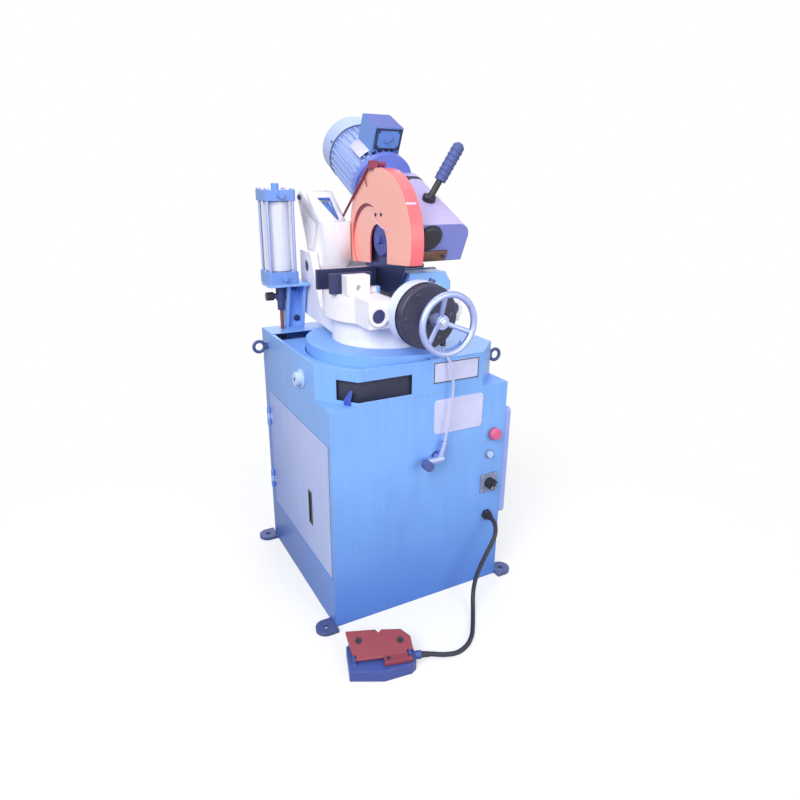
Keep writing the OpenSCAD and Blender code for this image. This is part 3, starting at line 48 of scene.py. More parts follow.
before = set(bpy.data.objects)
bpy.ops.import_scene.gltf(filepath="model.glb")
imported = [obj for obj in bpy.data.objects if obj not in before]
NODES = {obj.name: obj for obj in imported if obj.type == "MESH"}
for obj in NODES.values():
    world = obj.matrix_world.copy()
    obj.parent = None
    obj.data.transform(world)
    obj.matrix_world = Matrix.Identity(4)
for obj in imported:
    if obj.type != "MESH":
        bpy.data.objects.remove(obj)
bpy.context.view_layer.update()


def middle(node):
    """Middle of a construction node's box."""
    low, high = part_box(node)
    return (low + high) / 2


# Places taken from the frame, in metres
LEFT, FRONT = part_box("cabinet_shell")[0].xy
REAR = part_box("cabinet_shell")[1].y
TRAY_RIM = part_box("chip_tray")[1].z
PLINTH = middle("plinth")
PLINTH_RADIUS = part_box("plinth")[1].x
BLADE = middle("saw_blade")
SELECTOR = middle("selector_knob")
PLUG = middle("tray_plug")
DOOR = middle("door_panel")
COVER_LOW, COVER_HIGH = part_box("electrical_cover")
HINGE_HEIGHT = 0.066
HINGES = (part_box("hinge_leaves")[0].z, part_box("hinge_leaves")[1].z - HINGE_HEIGHT)
TANK = middle("tank_tube")
TANK_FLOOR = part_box("tank_tube")[0].z
VISE_HEIGHT = middle("handwheel").z
WORM_X = middle("motor_body").x

# Places and angles that repeat the construction's own values, in metres and radians
UPPER_PLATE = Vector((0.105, FRONT - 0.002, 0.774))
LOWER_PLATE = Vector((0.120, FRONT - 0.002, 0.634))
RECESS = Vector((-0.018, 0.040, 1.1186))
GUARD_TAPER = math.atan(0.0384)
LEVER_LOW = Vector((0, 0.190, 1.1686))
LEVER_HIGH = Vector((0, 0.306, 1.2594))
HOOK = Vector((-0.076, 0.366, 1.2386))
ANCHOR = Vector((-0.076, 0.318, 0.8806))
WORM = Vector((0, -0.0660, 1.1936))
MOTOR_TILT = math.radians(25.5)
BEARING_FACE = -0.1212
LID_FACE = 0.2352
LID_HEIGHT = 0.134
TREADLE = Vector((-0.244, -0.497, 0))
TREADLE_TURN = math.radians(-18)
TREADLE_TILT = math.radians(16)
TREADLE_HINGE = Vector((0, -0.025, 0.044))

# Middle of the bar under the bearing cap, across, along and up from the worm axis
BAR = Vector((0.102, -0.1208, -0.060))

# Ways that pieces face
FORWARD = (0, -1, 0)
LEFTWARD = (-1, 0, 0)
RIGHTWARD = (1, 0, 0)
UP = (0, 0, 1)

# Route of the foot switch cable, from the gland to the foot switch
CABLE_ROUTE = (
    (0.247, -0.328, 0.252), (0.2441, -0.352, 0.2483), (0.2359, -0.3725, 0.2379),
    (0.2235, -0.3865, 0.2222), (0.2087, -0.393, 0.203), (0.193, -0.395, 0.180),
    (0.177, -0.395, 0.150), (0.162, -0.395, 0.118), (0.150, -0.396, 0.086),
    (0.140, -0.402, 0.056), (0.129, -0.416, 0.030), (0.115, -0.438, 0.014),
    (0.096, -0.466, 0.008), (0.073, -0.498, 0.008), (0.046, -0.532, 0.008),
    (0.010, -0.560, 0.008), (-0.032, -0.572, 0.008), (-0.072, -0.564, 0.011),
    (-0.106, -0.550, 0.016), (-0.1371, -0.5401, 0.020),
)
# Route of the air hose, from the vise cylinder to the air valve
HOSE_ROUTE = (
    (0.060, -0.291, 0.8516), (0.060, -0.293, 0.8396), (0.065, -0.306, 0.8236),
    (0.073, -0.320, 0.7976), (0.080, -0.325, 0.7396), (0.076, -0.325, 0.6596),
    (0.066, -0.324, 0.5996), (0.060, -0.322, 0.5616),
)


def colour(name, description, value):
    """A colour setting with its name, description and default."""
    return bpy.props.FloatVectorProperty(
        name=name, description=description, subtype="COLOR", size=3, min=0, max=1, default=value
    )


def length(name, description, value):
    """A length setting in metres."""
    return bpy.props.FloatProperty(
        name=name, description=description, subtype="DISTANCE", unit="LENGTH", min=0, default=value
    )


def screen(red, green, blue):
    """Linear colour of a screen colour given in 0 to 255."""
    return tuple(
        part / 12.92 if part <= 0.04045 else ((part + 0.055) / 1.055) ** 2.4
        for part in (red / 255, green / 255, blue / 255)
    )


class SawColours(bpy.types.PropertyGroup):
    """Colours of the finishes."""

    cabinet: colour("Cabinet", "Enamel of the cabinet and tray", screen(128, 176, 245))
    door: colour("Door", "Enamel of the side door", screen(184, 199, 248))
    cover: colour("Cover", "Enamel of the electrical cover", screen(154, 174, 240))
    casting: colour("Casting", "Paint of the head, vise and pedestal", screen(246, 243, 252))
    guard: colour("Guard", "Paint of the blade guard", screen(253, 180, 164))
    motor: colour("Motor", "Paint of the motor", screen(176, 194, 238))
    box: colour("Terminal box", "Paint of the terminal box", screen(102, 144, 220))
    housing: colour("Housing", "Paint of the gear housing", screen(188, 176, 226))
    caps: colour("Tank caps", "Enamel of the square tank caps", screen(112, 152, 224))
    grip: colour("Grip", "Rubber of the ribbed grip and air knob", screen(74, 90, 150))
    treadle: colour("Treadle", "Paint of the foot treadle", screen(146, 60, 72))
    coolant: colour("Coolant", "Coolant pipe and its fitting", screen(134, 44, 78))
    oil: colour("Oil", "Oil in the clear tank", screen(206, 206, 246))
    steel: colour("Steel", "Bright machined steel", screen(190, 198, 220))
    jaws: colour("Jaws", "Blackened jaw steel", screen(60, 66, 104))
    blade: colour("Blade", "Saw blade steel", screen(92, 104, 150))
    flange: colour("Flange", "Paint of the blade flange", screen(66, 78, 158))
    black: colour("Black plastic", "Knobs, handle bar and door pull", screen(34, 33, 42))
    cylinder: colour("Cylinder", "Paint of the vise cylinder", screen(46, 45, 74))
    red: colour("Red", "Stop button", screen(220, 98, 146))
    pedal: colour("Foot switch", "Body of the foot switch", screen(66, 84, 158))
    bronze: colour("Bronze", "Worm wheel and low end of the oil valve", screen(112, 72, 66))
    brass: colour("Brass", "Bar under the bearing cap", screen(128, 98, 84))
    plate: colour("Plates", "Bare plates", screen(206, 208, 246))
    # Nearly white: a painted reflection that stands for the bright shine of the clear tube
    tube: colour("Tube", "Clear tank tube", screen(246, 248, 255))
    hose: colour("Hose", "Pale air hose", screen(206, 212, 246))
    rubber: colour("Rubber", "Cable, seals and treadle studs", screen(40, 40, 54))
    carrier: colour("Carrier", "Paint of the blue vise castings", screen(134, 180, 245))
    pale: colour("Pale blue", "Plug, start button and rim hose", screen(186, 208, 250))
    # Painted shade inside the chip slot, vent, door gap and plug socket; also the dark seals round the
    # cowl and the box lid
    shadow: colour("Dark slots", "Dark lining of slots and vents", screen(40, 42, 66))
    # Painted shadow of the step in the guard's recess
    groove: colour("Guard groove", "Dark arc in the recess of the guard", screen(140, 66, 84))
    # Painted blue shade on the faces inside the lever's channel and on the sheet below it
    lining: colour("Lever lining", "Paint inside the lever", screen(110, 156, 238))
    sleeve: colour("Tank sleeve", "Clear sleeve round the tank", screen(206, 216, 250))
    # Painted shade: the cabinet's enamel darkens to this towards the floor
    foot: colour("Cabinet foot", "Enamel low on the cabinet", screen(78, 124, 214))
    # Painted shade on the rim of the guard
    rim: colour("Guard rim", "Deeper paint on the rim of the guard", screen(240, 112, 120))
    # Painted shade: the housing's front looks down, away from the lamps
    front: colour("Housing front", "Deeper paint on the front of the housing", screen(134, 142, 218))
    lid: colour("Box top", "Deeper paint of the box top and slot tab", screen(64, 86, 178))
    # Painted shade on the motor's front shield, which looks down
    shield: colour("Motor shield", "Deeper paint on the motor's front shield", screen(112, 132, 218))
    wheel: colour("Handwheel", "Steel of the handwheel, air valve and tank rods", screen(168, 180, 226))
    valve: colour("Oil valve", "Dull steel of the oil valve", screen(66, 76, 128))
    bracket: colour("Bracket", "Enamel of the tank bracket", screen(140, 182, 246))
    rear: colour("Cabinet rear", "Enamel in the shade of the left wall", screen(84, 112, 196))
    eyes: colour("Eyes", "Enamel of the lifting eyes and ears", screen(74, 88, 140))


class SawSizes(bpy.types.PropertyGroup):
    """Sizes of the pieces that are added to the construction."""

    cable: length("Cable", "Diameter of the foot switch cable", 0.014)
    hose: length("Hose", "Diameter of the air hose", 0.008)
    wire: length("Spring wire", "Diameter of the spring wire", 0.005)
    coil: length("Spring coil", "Radius of the spring at the wire's middle", 0.017)
    spray: length("Spray tube", "Diameter of the thin coolant tube", 0.0036)
    oil_level: length("Oil level", "Height of the oil in the tank", 0.148)
    curls: bpy.props.IntProperty(
        name="Spring turns", description="Turns of the return spring", min=4, default=22
    )


class SawStage(bpy.types.PropertyGroup):
    """Camera and backdrop."""

    eye: bpy.props.FloatVectorProperty(
        name="Eye", description="Place of the camera", subtype="XYZ", size=3,
        default=(-0.876, -1.753, 1.313),
    )
    heading: bpy.props.FloatProperty(
        name="Heading", description="Turn of the camera", subtype="ANGLE",
        default=math.radians(-28.61),
    )
    pitch: bpy.props.FloatProperty(
        name="Pitch", description="Downward tilt", subtype="ANGLE", default=math.radians(20)
    )
    roll: bpy.props.FloatProperty(
        name="Roll", description="Roll of the camera", subtype="ANGLE", default=math.radians(0.62)
    )
    lens: bpy.props.FloatProperty(name="Lens", description="Focal length", default=27.81, min=1)
    backdrop: colour("Backdrop", "Colour of the floor and background", (1, 1, 1))


class Signal:
    """One output of a node; its operators add Math nodes."""

    def __init__(self, graph, socket):
        self.graph = graph
        self.socket = socket

    def math(self, operation, *values):
        """A Math node on these values."""
        return self.graph.add("ShaderNodeMath", {"operation": operation}, dict(enumerate(values)))

    def __add__(self, other):
        return self.math("ADD", self, other)

    def __radd__(self, other):
        return self.math("ADD", other, self)

    def __sub__(self, other):
        return self.math("SUBTRACT", self, other)

    def __rsub__(self, other):
        return self.math("SUBTRACT", other, self)

    def __mul__(self, other):
        return self.math("MULTIPLY", self, other)

    def __rmul__(self, other):
        return self.math("MULTIPLY", other, self)

    def step(self, low, high):
        """Smooth rise from 0 at low to 1 at high."""
        return self.graph.add(
            "ShaderNodeMapRange",
            {"interpolation_type": "SMOOTHSTEP"},
            {"Value": self, "From Min": low, "From Max": high},
        )


class Graph:
    """The nodes of one material, or of the world."""

    def __init__(self, name, world=None):
        self.block = world or bpy.data.materials.new(name)
        self.block.use_nodes = True
        self.tree = self.block.node_tree
        self.tree.nodes.clear()
        self.place = None if world else self.add("ShaderNodeTexCoord", output="Object")

    def add(self, kind, settings=None, inputs=None, output=0):
        """Adds a node with its settings and the values or links of its sockets."""
        node = self.tree.nodes.new(kind)
        for key, value in (settings or {}).items():
            setattr(node, key, value)
        for key, value in (inputs or {}).items():
            if isinstance(value, Signal):
                self.tree.links.new(value.socket, node.inputs[key])
            else:
                node.inputs[key].default_value = value
        return Signal(self, node.outputs[output]) if node.outputs else node

    def noise(self, scale, detail=3, stretch=None):
        """Noise over the object, drawn out along its axes where stretch is given."""
        place = self.place
        if stretch:
            place = self.add("ShaderNodeMapping", inputs={"Vector": place, "Scale": stretch})
        sockets = {"Vector": place, "Scale": scale, "Detail": detail, "Roughness": 0.5}
        return self.add("ShaderNodeTexNoise", inputs=sockets)

    def blend(self, amount, first, second):
        """Colour between two colours."""
        sockets = {0: amount, 6: with_alpha(first), 7: with_alpha(second)}
        return self.add("ShaderNodeMix", {"data_type": "RGBA"}, sockets, output=2)

    def tones(self, amount, base, dark, light):
        """Colour between a darker and a lighter tone of a base."""
        return self.blend(amount, shade(base, dark), shade(base, light))

    def dot(self, first, second):
        """Dot product of two vectors."""
        sockets = {0: first, 1: second}
        return self.add("ShaderNodeVectorMath", {"operation": "DOT_PRODUCT"}, sockets, output=1)

    def toward(self, direction):
        """1 on faces that look along a direction of the object."""
        return self.dot(self.add("ShaderNodeTexCoord", output="Normal"), direction).step(0.5, 0.9)

    def along(self, direction):
        """Distance along a direction of the object."""
        return self.dot(self.place, direction)

    def soft_edge(self, radius):
        """Normal with rounded edges."""
        return self.add("ShaderNodeBevel", {"samples": 6}, {"Radius": radius})

    def edge(self, normal):
        """1 along the edges that a rounded normal finds."""
        face = self.add("ShaderNodeNewGeometry", output="Normal")
        return (1 - self.dot(normal, face)).step(0.02, 0.22)

    def rubbed(self, normal, scale, low, high):
        """1 in patches along the edges, where paint is rubbed off."""
        return self.edge(normal) * self.noise(scale, 4).step(low, high)

    def bump(self, height, depth, normal):
        """Normal with a fine relief on it."""
        sockets = {"Height": height, "Distance": depth, "Strength": 1.0, "Normal": normal}
        return self.add("ShaderNodeBump", inputs=sockets)

    def surface(self, **sockets):
        """Closes the material with one principled shader."""
        names = {key.replace("_", " ").title().replace("Ior", "IOR"): v for key, v in sockets.items()}
        shader = self.add("ShaderNodeBsdfPrincipled", inputs=names)
        self.add("ShaderNodeOutputMaterial", inputs={"Surface": shader})
        return self.block

    def seen(self):
        """1 for what the camera sees straight, in a reflection or through a clear wall."""
        kinds = ("Is Camera Ray", "Is Glossy Ray", "Is Transmission Ray")
        straight, mirrored, through = (self.add("ShaderNodeLightPath", output=kind) for kind in kinds)
        return (straight + mirrored + through).step(0.2, 0.8)


def with_alpha(value):
    """A colour with its fourth number, or a link as it is."""
    return value if isinstance(value, Signal) else (*value, 1.0)


def shade(value, factor):
    """A colour made darker or lighter."""
    return tuple(min(1.0, part * factor) for part in value)


def mix_colour(first, second, amount):
    """A fixed colour between two fixed colours."""
    return tuple(a + (b - a) * amount for a, b in zip(first, second))


# Colours that show where paint is worn, and the paler painted sheen on the edges of plastic
PRIMER = (0.9, 0.92, 0.96)
BARE_IRON = (0.34, 0.35, 0.4)
PALE_PRIMER = (0.95, 0.85, 0.8)
EDGE_SHEEN = (0.5, 0.5, 0.55)

# Stretches over which a second tone fades in, in metres, and the way that the rear one runs; the low,
# rear and shield tones are painted shade, the valve's is bronze
LOW_SHADE_FADE = (-0.1, 0.62)
REAR_WAY = (0, 1, -0.55)
REAR_FADE = (-0.46, 0.4)
SHIELD_FADE = (0.222, 0.262)
VALVE_FADE = (0.905, 0.912)


def enamel(name, base, roughness=0.38, wear=0.35, low=None, rear=None):
    """Sheet-metal enamel with orange peel, streaks, rubbed edges, painted shade low down and painted
    shade on the rear of the left wall.
    """
    g = Graph(name)
    rounded = g.soft_edge(0.0025)
    broad = g.noise(3.5, 4)
    streak = g.noise(9, 3, stretch=(6, 6, 0.7))
    rub = g.rubbed(rounded, 55, 0.42, 0.6)
    tone = g.tones((broad * 0.6 + streak * 0.4).step(0.3, 0.7), base, 0.92, 1.05)
    tone = g.blend(rub * wear, tone, mix_colour(base, PRIMER, 0.6))
    # Painted shade: darker towards the floor
    if low:
        tone = g.blend((g.along(UP) + 0.1 * broad).step(*LOW_SHADE_FADE), low, tone)
    # Painted shade on the rear of faces that look left
    if rear:
        back = (g.along(REAR_WAY) + 0.1 * broad).step(*REAR_FADE)
        tone = g.blend(0.85 * back * g.toward(LEFTWARD), tone, rear)
    return g.surface(
        base_color=tone,
        roughness=roughness + 0.12 * broad + 0.1 * rub,
        normal=g.bump(g.noise(520, 2), 0.00012, rounded),
        specular_ior_level=0.35,
        coat_weight=0.06,
        coat_roughness=0.15,
    )


def cast_paint(name, base, roughness=0.42, lump=0.0004, wear=0.3, second=None, way=None):
    """Paint over rough casting, with lumps, grime, bare edges and a second tone on one side."""
    g = Graph(name)
    rounded = g.soft_edge(0.005)
    broad = g.noise(7, 4)
    grime = g.noise(26, 5).step(0.5, 0.78)
    tone = g.tones(broad, base, 0.9, 1.04)
    # On the gear housing the second tone is painted shade on its front; on the terminal box it is the
    # deeper paint of its top
    if second:
        tone = g.blend(g.toward(way), tone, g.tones(broad, second, 0.9, 1.04))
    tone = g.blend(grime * 0.18, tone, shade(base, 0.55))
    tone = g.blend(g.rubbed(rounded, 40, 0.45, 0.62) * wear, tone, BARE_IRON)
    lumps = g.noise(110, 3) + 0.35 * g.noise(420, 2)
    return g.surface(
        base_color=tone,
        roughness=roughness + 0.18 * broad,
        normal=g.bump(lumps, lump, rounded),
        coat_weight=0.1,
        coat_roughness=0.2,
    )


def motor_paint(name, base, shield):
    """Paint of the motor, with painted shade on its front shield, darker than the fins and cowl."""
    g = Graph(name)
    broad = g.noise(9, 4)
    axis = (0, math.cos(MOTOR_TILT), math.sin(MOTOR_TILT))
    reach = g.along(axis) - WORM.dot(Vector(axis))
    tone = g.tones(broad, base, 0.92, 1.04)
    # Painted shade on the front shield
    tone = g.blend(reach.step(*SHIELD_FADE), shield, tone)
    tone = g.blend(g.noise(30, 4).step(0.55, 0.8) * 0.15, tone, shade(base, 0.6))
    return g.surface(
        base_color=tone,
        roughness=0.36 + 0.16 * broad,
        normal=g.bump(g.noise(240, 2), 0.0001, g.soft_edge(0.003)),
    )


def machined(name, base, roughness=0.28, stretch=(1, 1, 30), metal=1.0, scale=160, low=None):
    """Turned or ground metal with fine tool marks, stains and another metal at its low end."""
    g = Graph(name)
    lines = g.noise(scale, 3, stretch=stretch)
    stain = g.noise(24, 4)
    tone = g.tones(lines, base, 0.86, 1.08)
    tone = g.blend(stain.step(0.52, 0.8) * 0.35, tone, shade(base, 0.5))
    if low:
        tone = g.blend(g.along(UP).step(*VALVE_FADE), low, tone)
    return g.surface(
        base_color=tone,
        metallic=metal,
        roughness=roughness + 0.16 * lines + 0.12 * stain,
        normal=g.bump(lines, 0.00004, g.soft_edge(0.0012)),
    )


def moulded(name, base, roughness=0.42, grain=620, depth=0.00008):
    """Moulded plastic or rubber with a fine grain and a paler painted sheen along its edges."""
    g = Graph(name)
    rounded = g.soft_edge(0.0015)
    broad = g.noise(18, 3)
    tone = g.tones(broad, base, 0.82, 1.15)
    # Painted sheen: every edge is mixed towards a paler grey
    tone = g.blend(g.edge(rounded) * 0.35, tone, mix_colour(base, EDGE_SHEEN, 0.3))
    return g.surface(
        base_color=tone,
        roughness=roughness + 0.16 * broad,
        normal=g.bump(g.noise(grain, 2), depth, rounded),
    )


def clear_wall(name, base, alpha):
    """Clear plastic wall with its own milkiness and faint scratches along it."""
    g = Graph(name)
    marks = g.noise(40, 3, stretch=(8, 8, 0.5))
    return g.surface(
        base_color=g.tones(marks, base, 0.9, 1.0),
        roughness=0.08 + 0.14 * marks,
        alpha=alpha + 0.12 * marks,
        ior=1.49,
        specular_ior_level=0.6,
    )


def guard_paint(name, base, rim):
    """Gloss paint of the guard, with painted shade on its rim, and scuffed by chips."""
    g = Graph(name)
    rounded = g.soft_edge(0.003)
    broad = g.noise(5, 4)
    scuff = g.noise(70, 5, stretch=(1, 1, 2.5)).step(0.6, 0.74)
    # Painted shade: every face but the two sides takes the darker rim colour
    face = g.toward(LEFTWARD) + g.toward(RIGHTWARD)
    tone = g.blend(face, g.tones(broad, rim, 0.93, 1.04), g.tones(broad, base, 0.93, 1.04))
    tone = g.blend(scuff * 0.1, tone, shade(base, 0.7))
    tone = g.blend(g.rubbed(rounded, 60, 0.44, 0.6) * 0.5, tone, mix_colour(base, PALE_PRIMER, 0.7))
    return g.surface(
        base_color=tone,
        roughness=0.3 + 0.14 * broad + 0.12 * scuff,
        normal=g.bump(g.noise(430, 2), 0.0001, rounded),
        coat_weight=0.2,
        coat_roughness=0.1,
    )


# Construction nodes under the finish that each gets
FINISH_NODES = {
    "cabinet": "cabinet_shell cabinet_side chip_tray plinth hinge_leaves",
    "caps": "tank_caps",
    "bracket": "tank_bracket",
    "eyes": "lifting_eyes anchor_ears",
    "wheel": "handwheel air_valve tank_rods",
    "valve": "flow_valve",
    "door": "door_panel",
    "cover": "electrical_cover",
    "plate": "name_plates",
    "pale": "tray_plug start_button",
    "casting": "turntable vise_bed head_arm left_carrier",
    "housing": "gear_housing",
    "blue_casting": "right_carrier jaw_slide",
    "steel": "vise_screw arbor_bearings worm_shaft return_spring",
    "dark_steel": "pivot_shaft guide_rods",
    "blade": "saw_blade",
    "jaws": "rear_jaws front_jaws",
    "flange": "blade_flange arbor",
    "guard": "blade_guard",
    "motor": "motor_body fan_cowl coolant_supply",
    "box": "terminal_box box_lid",
    "black": "door_pull cable_gland selector_knob housing_cap flow_knob handle_bar",
    "grip": "handle_grip air_knob",
    "cylinder": "vise_cylinder",
    "collar": "control_collars",
    "red": "stop_button",
    "treadle": "pedal_treadle",
    "pedal": "pedal_base",
    "bronze": "worm_wheel",
    "coolant": "coolant_pipe",
    "tube": "tank_tube",
    "hose": "air_hose",
    "rubber": "foot_cable",
}
FINISH = {}


def paint(piece, finish):
    """Gives a piece one finish."""
    piece.data.materials.clear()
    piece.data.materials.append(FINISH[finish])


class SAW_OT_finishes(bpy.types.Operator):
    """Makes the finishes and gives every construction node its own"""

    bl_idname = "saw.finishes"
    bl_label = "Finishes"

    def execute(self, context):
        c = {key: tuple(getattr(context.scene.saw_colours, key)) for key in SawColours.__annotations__}
        lean = Matrix.Rotation(MOTOR_TILT, 3, "X")
        front = lean @ Vector(FORWARD)
        top = lean @ Vector(UP)
        FINISH.update(
            # Painted shade low on the cabinet and on the rear of its left wall
            cabinet=enamel("cabinet_enamel", c["cabinet"], low=c["foot"], rear=shade(c["rear"], 0.7)),
            # The door's rear fades into painted shade
            door=enamel("door_enamel", c["door"], rear=c["rear"]),
            cover=enamel("cover_enamel", c["cover"], 0.36),
            plate=moulded("bare_plate", c["plate"], 0.3, 300, 0.00003),
            casting=cast_paint("cream_casting", c["casting"]),
            blue_casting=cast_paint("blue_casting", c["carrier"]),
            pale=enamel("pale_enamel", c["pale"]),
            bracket=enamel("bracket_enamel", c["bracket"]),
            band=enamel("band_enamel", mix_colour(c["pale"], c["casting"], 0.5)),
            eyes=enamel("eye_enamel", c["eyes"]),
            lid=enamel("deep_enamel", c["lid"]),
            wheel=machined("wheel_steel", c["wheel"], 0.34),
            valve=machined("valve_steel", c["valve"], 0.42, metal=0.6, low=shade(c["bronze"], 1.6)),
            barrel=machined("barrel_steel", c["valve"], 0.42, metal=0.6),
            # Painted shade in slots and gaps, and the dark seals
            shadow=moulded("dark_seals_and_slot_shade", c["shadow"], 0.6),
            # Painted shadow in the guard's recess
            groove=moulded("guard_recess_shadow", c["groove"], 0.5),
            # Painted blue shade inside the lever's channel
            lining=cast_paint("lever_channel_shade", c["lining"]),
            sleeve=clear_wall("tank_sleeve", c["sleeve"], 0.08),
            spray=moulded("pink_tube", mix_colour(c["guard"], c["plate"], 0.6), 0.3),
            steel=machined("bright_steel", c["steel"]),
            dark_steel=machined(
                "dark_steel", mix_colour(shade(c["steel"], 0.16), c["flange"], 0.4), 0.36
            ),
            blade=machined("saw_steel", c["blade"], 0.3, (1, 14, 14), scale=60),
            jaws=machined("black_jaws", c["jaws"], 0.38, (30, 1, 1), 0.7),
            flange=enamel("flange_paint", c["flange"], 0.3, 0.5),
            # The guard's rim takes painted shade
            guard=guard_paint("guard_paint", c["guard"], c["rim"]),
            # The front of the gear housing takes painted shade
            housing=cast_paint("housing_paint", c["housing"], 0.4, second=c["front"], way=front),
            caps=enamel("cap_enamel", c["caps"]),
            # The motor's front shield takes painted shade
            motor=motor_paint("motor_paint", c["motor"], c["shield"]),
            box=cast_paint("box_paint", c["box"], 0.36, 0.0002, second=c["lid"], way=top),
            grip=moulded("grip_rubber", c["grip"], 0.5, 500, 0.0001),
            treadle=cast_paint("treadle_paint", c["treadle"], 0.42, 0.0002),
            coolant=enamel("coolant_paint", c["coolant"], 0.36, 0.2),
            oil=clear_wall("tank_oil", c["oil"], 0.5),
            black=moulded("black_plastic", c["black"]),
            cylinder=cast_paint("cylinder_paint", c["cylinder"], 0.36, 0.0002, 0.4),
            collar=moulded("collar_plastic", mix_colour(c["motor"], c["black"], 0.55), 0.4),
            red=moulded("red_plastic", c["red"], 0.34),
            pedal=cast_paint("pedal_paint", c["pedal"], 0.4, 0.0002),
            bronze=machined("dull_bronze", c["bronze"], 0.4),
            brass=machined("brown_brass", c["brass"], 0.42, (30, 1, 1)),
            # Nearly opaque white, a painted reflection of the clear tube
            tube=clear_wall("clear_tube", c["tube"], 0.94),
            hose=clear_wall("pale_hose", c["hose"], 0.72),
            rubber=moulded("cable_rubber", c["rubber"], 0.5, 500, 0.0001),
        )
        for finish, names in FINISH_NODES.items():
            for name in names.split():
                paint(NODES[name], finish)
        return {"FINISHED"}


def arc(first, last, steps):
    """Angles in radians from first to last in degrees."""
    return [math.radians(first + (last - first) * k / steps) for k in range(steps + 1)]


def spline_points(route, steps):
    """Smooth curve through the points of a route."""
    points = [Vector(p) for p in route]
    ends = [2 * points[0] - points[1], *points, 2 * points[-1] - points[-2]]
    found = []
    for a, b, c, d in zip(ends, ends[1:], ends[2:], ends[3:]):
        square = 2 * a - 5 * b + 4 * c - d
        cube = 3 * b - a - 3 * c + d
        for k in range(steps):
            t = k / steps
            found.append((2 * b + (c - a) * t + square * t**2 + cube * t**3) / 2)
    return [*found, points[-1]]


def run_length(points):
    """Length along a row of points."""
    return sum((b - a).length for a, b in zip(points, points[1:]))


def add_object(name, data):
    """Links a new object to the scene."""
    made = bpy.data.objects.new(name, data)
    bpy.context.scene.collection.objects.link(made)
    return made


def open_curve(name, points, dimensions):
    """A curve of one open line through points."""
    curve = bpy.data.curves.new(name, "CURVE")
    curve.dimensions = dimensions
    line = curve.splines.new("POLY")
    line.points.add(len(points) - 1)
    for spot, place in zip(line.points, points):
        spot.co = (*place, 1)
    return add_object(name, curve)


def tube_curve(name, points, radius, sides):
    """An open curve through points with a round section."""
    tube = open_curve(name, points, "3D")
    tube.data.bevel_depth = radius
    tube.data.bevel_resolution = sides
    tube.data.use_fill_caps = True
    tube.data.splines[0].use_smooth = True
    return tube


def ribbon(name, outline, height, thickness):
    """A bent strip: an outline in X and Y with a height along Z."""
    strip = open_curve(name, [(x, y, 0) for x, y in outline], "2D")
    strip.data.extrude = height / 2
    return modify(to_mesh(strip), "SOLIDIFY", thickness=thickness, offset=0)


def deselect():
    """Clears the selection, because operators act on all that is selected."""
    bpy.ops.object.select_all(action="DESELECT")


def pick(*pieces):
    """Makes these pieces the only selected ones, the first one active."""
    deselect()
    for piece in pieces:
        piece.select_set(True)
    bpy.context.view_layer.objects.active = pieces[0]


def to_mesh(piece):
    """Turns a curve into a mesh."""
    pick(piece)
    bpy.ops.object.convert(target="MESH")
    return bpy.context.object


def start(name, kind, **settings):
    """Adds a primitive at its size and place as the start of a piece."""
    deselect()
    getattr(bpy.ops.mesh, f"primitive_{kind}_add")(**settings)
    bpy.ops.object.transform_apply(location=True, rotation=True, scale=True)
    bpy.context.object.name = name
    return bpy.context.object


def edit(piece, kind, test, *steps):
    """Picks faces or edges of a piece by a test, and takes steps on them in edit mode.

    A test on a face gets its middle and normal, and one on an edge gets its two ends.
    """
    pick(piece)
    mesh = piece.data
    bpy.context.tool_settings.mesh_select_mode = (False, kind == "EDGE", kind == "FACE")
    for group in (mesh.vertices, mesh.edges, mesh.polygons):
        group.foreach_set("select", [False] * len(group))
    if kind == "FACE":
        for face in mesh.polygons:
            face.select = test(face.center, face.normal)
    else:
        for edge in mesh.edges:
            edge.select = test(*(mesh.vertices[k].co for k in edge.vertices))
    bpy.ops.object.mode_set(mode="EDIT")
    for step, settings in steps:
        step(**settings)
    bpy.ops.object.mode_set(mode="OBJECT")
    return piece


def anywhere(spot, out):
    """Passes every face."""
    return True


def on_top(spot, out):
    """Passes faces that look up."""
    return out.z > 0.9


def resize(*factors):
    """Step that scales what is picked about its middle."""
    return bpy.ops.transform.resize, {"value": factors}


def move(*way):
    """Step that moves what is picked."""
    return bpy.ops.transform.translate, {"value": way}


def inset(rim):
    """Step that insets the picked faces and keeps their middle picked."""
    return bpy.ops.mesh.inset, {"thickness": rim}


def extrude(*way):
    """Step that extrudes the picked faces."""
    return bpy.ops.mesh.extrude_region_move, {"TRANSFORM_OT_translate": {"value": way}}


def bisect(point, normal, **settings):
    """Step that cuts what is picked along a plane."""
    return bpy.ops.mesh.bisect, {"plane_co": point, "plane_no": normal, **settings}


SELECT_ALL = (bpy.ops.mesh.select_all, {"action": "SELECT"})
DELETE_FACES = (bpy.ops.mesh.delete, {"type": "FACE"})
MERGE = (bpy.ops.mesh.remove_doubles, {"threshold": 0.00001})


def modify(piece, kind, **settings):
    """Adds a modifier and applies it."""
    pick(piece)
    modifier = piece.modifiers.new(kind.lower(), kind)
    for key, value in settings.items():
        setattr(modifier, key, value)
    bpy.ops.object.modifier_apply(modifier=modifier.name)
    return piece


def bevel(piece, offset, test=None, segments=2):
    """Rounds the edges that pass a test, or all sharp ones."""
    if test:
        step = (bpy.ops.mesh.bevel, {"offset": offset, "segments": segments, "affect": "EDGES"})
        return edit(piece, "EDGE", test, step)
    return modify(piece, "BEVEL", width=offset, segments=segments, limit_method="ANGLE")


def thicken(piece, thickness):
    """Gives an open sheet its thickness and takes off the sharpness of its edges."""
    modify(piece, "SOLIDIFY", thickness=thickness, offset=1)
    return bevel(piece, thickness / 4, segments=1)


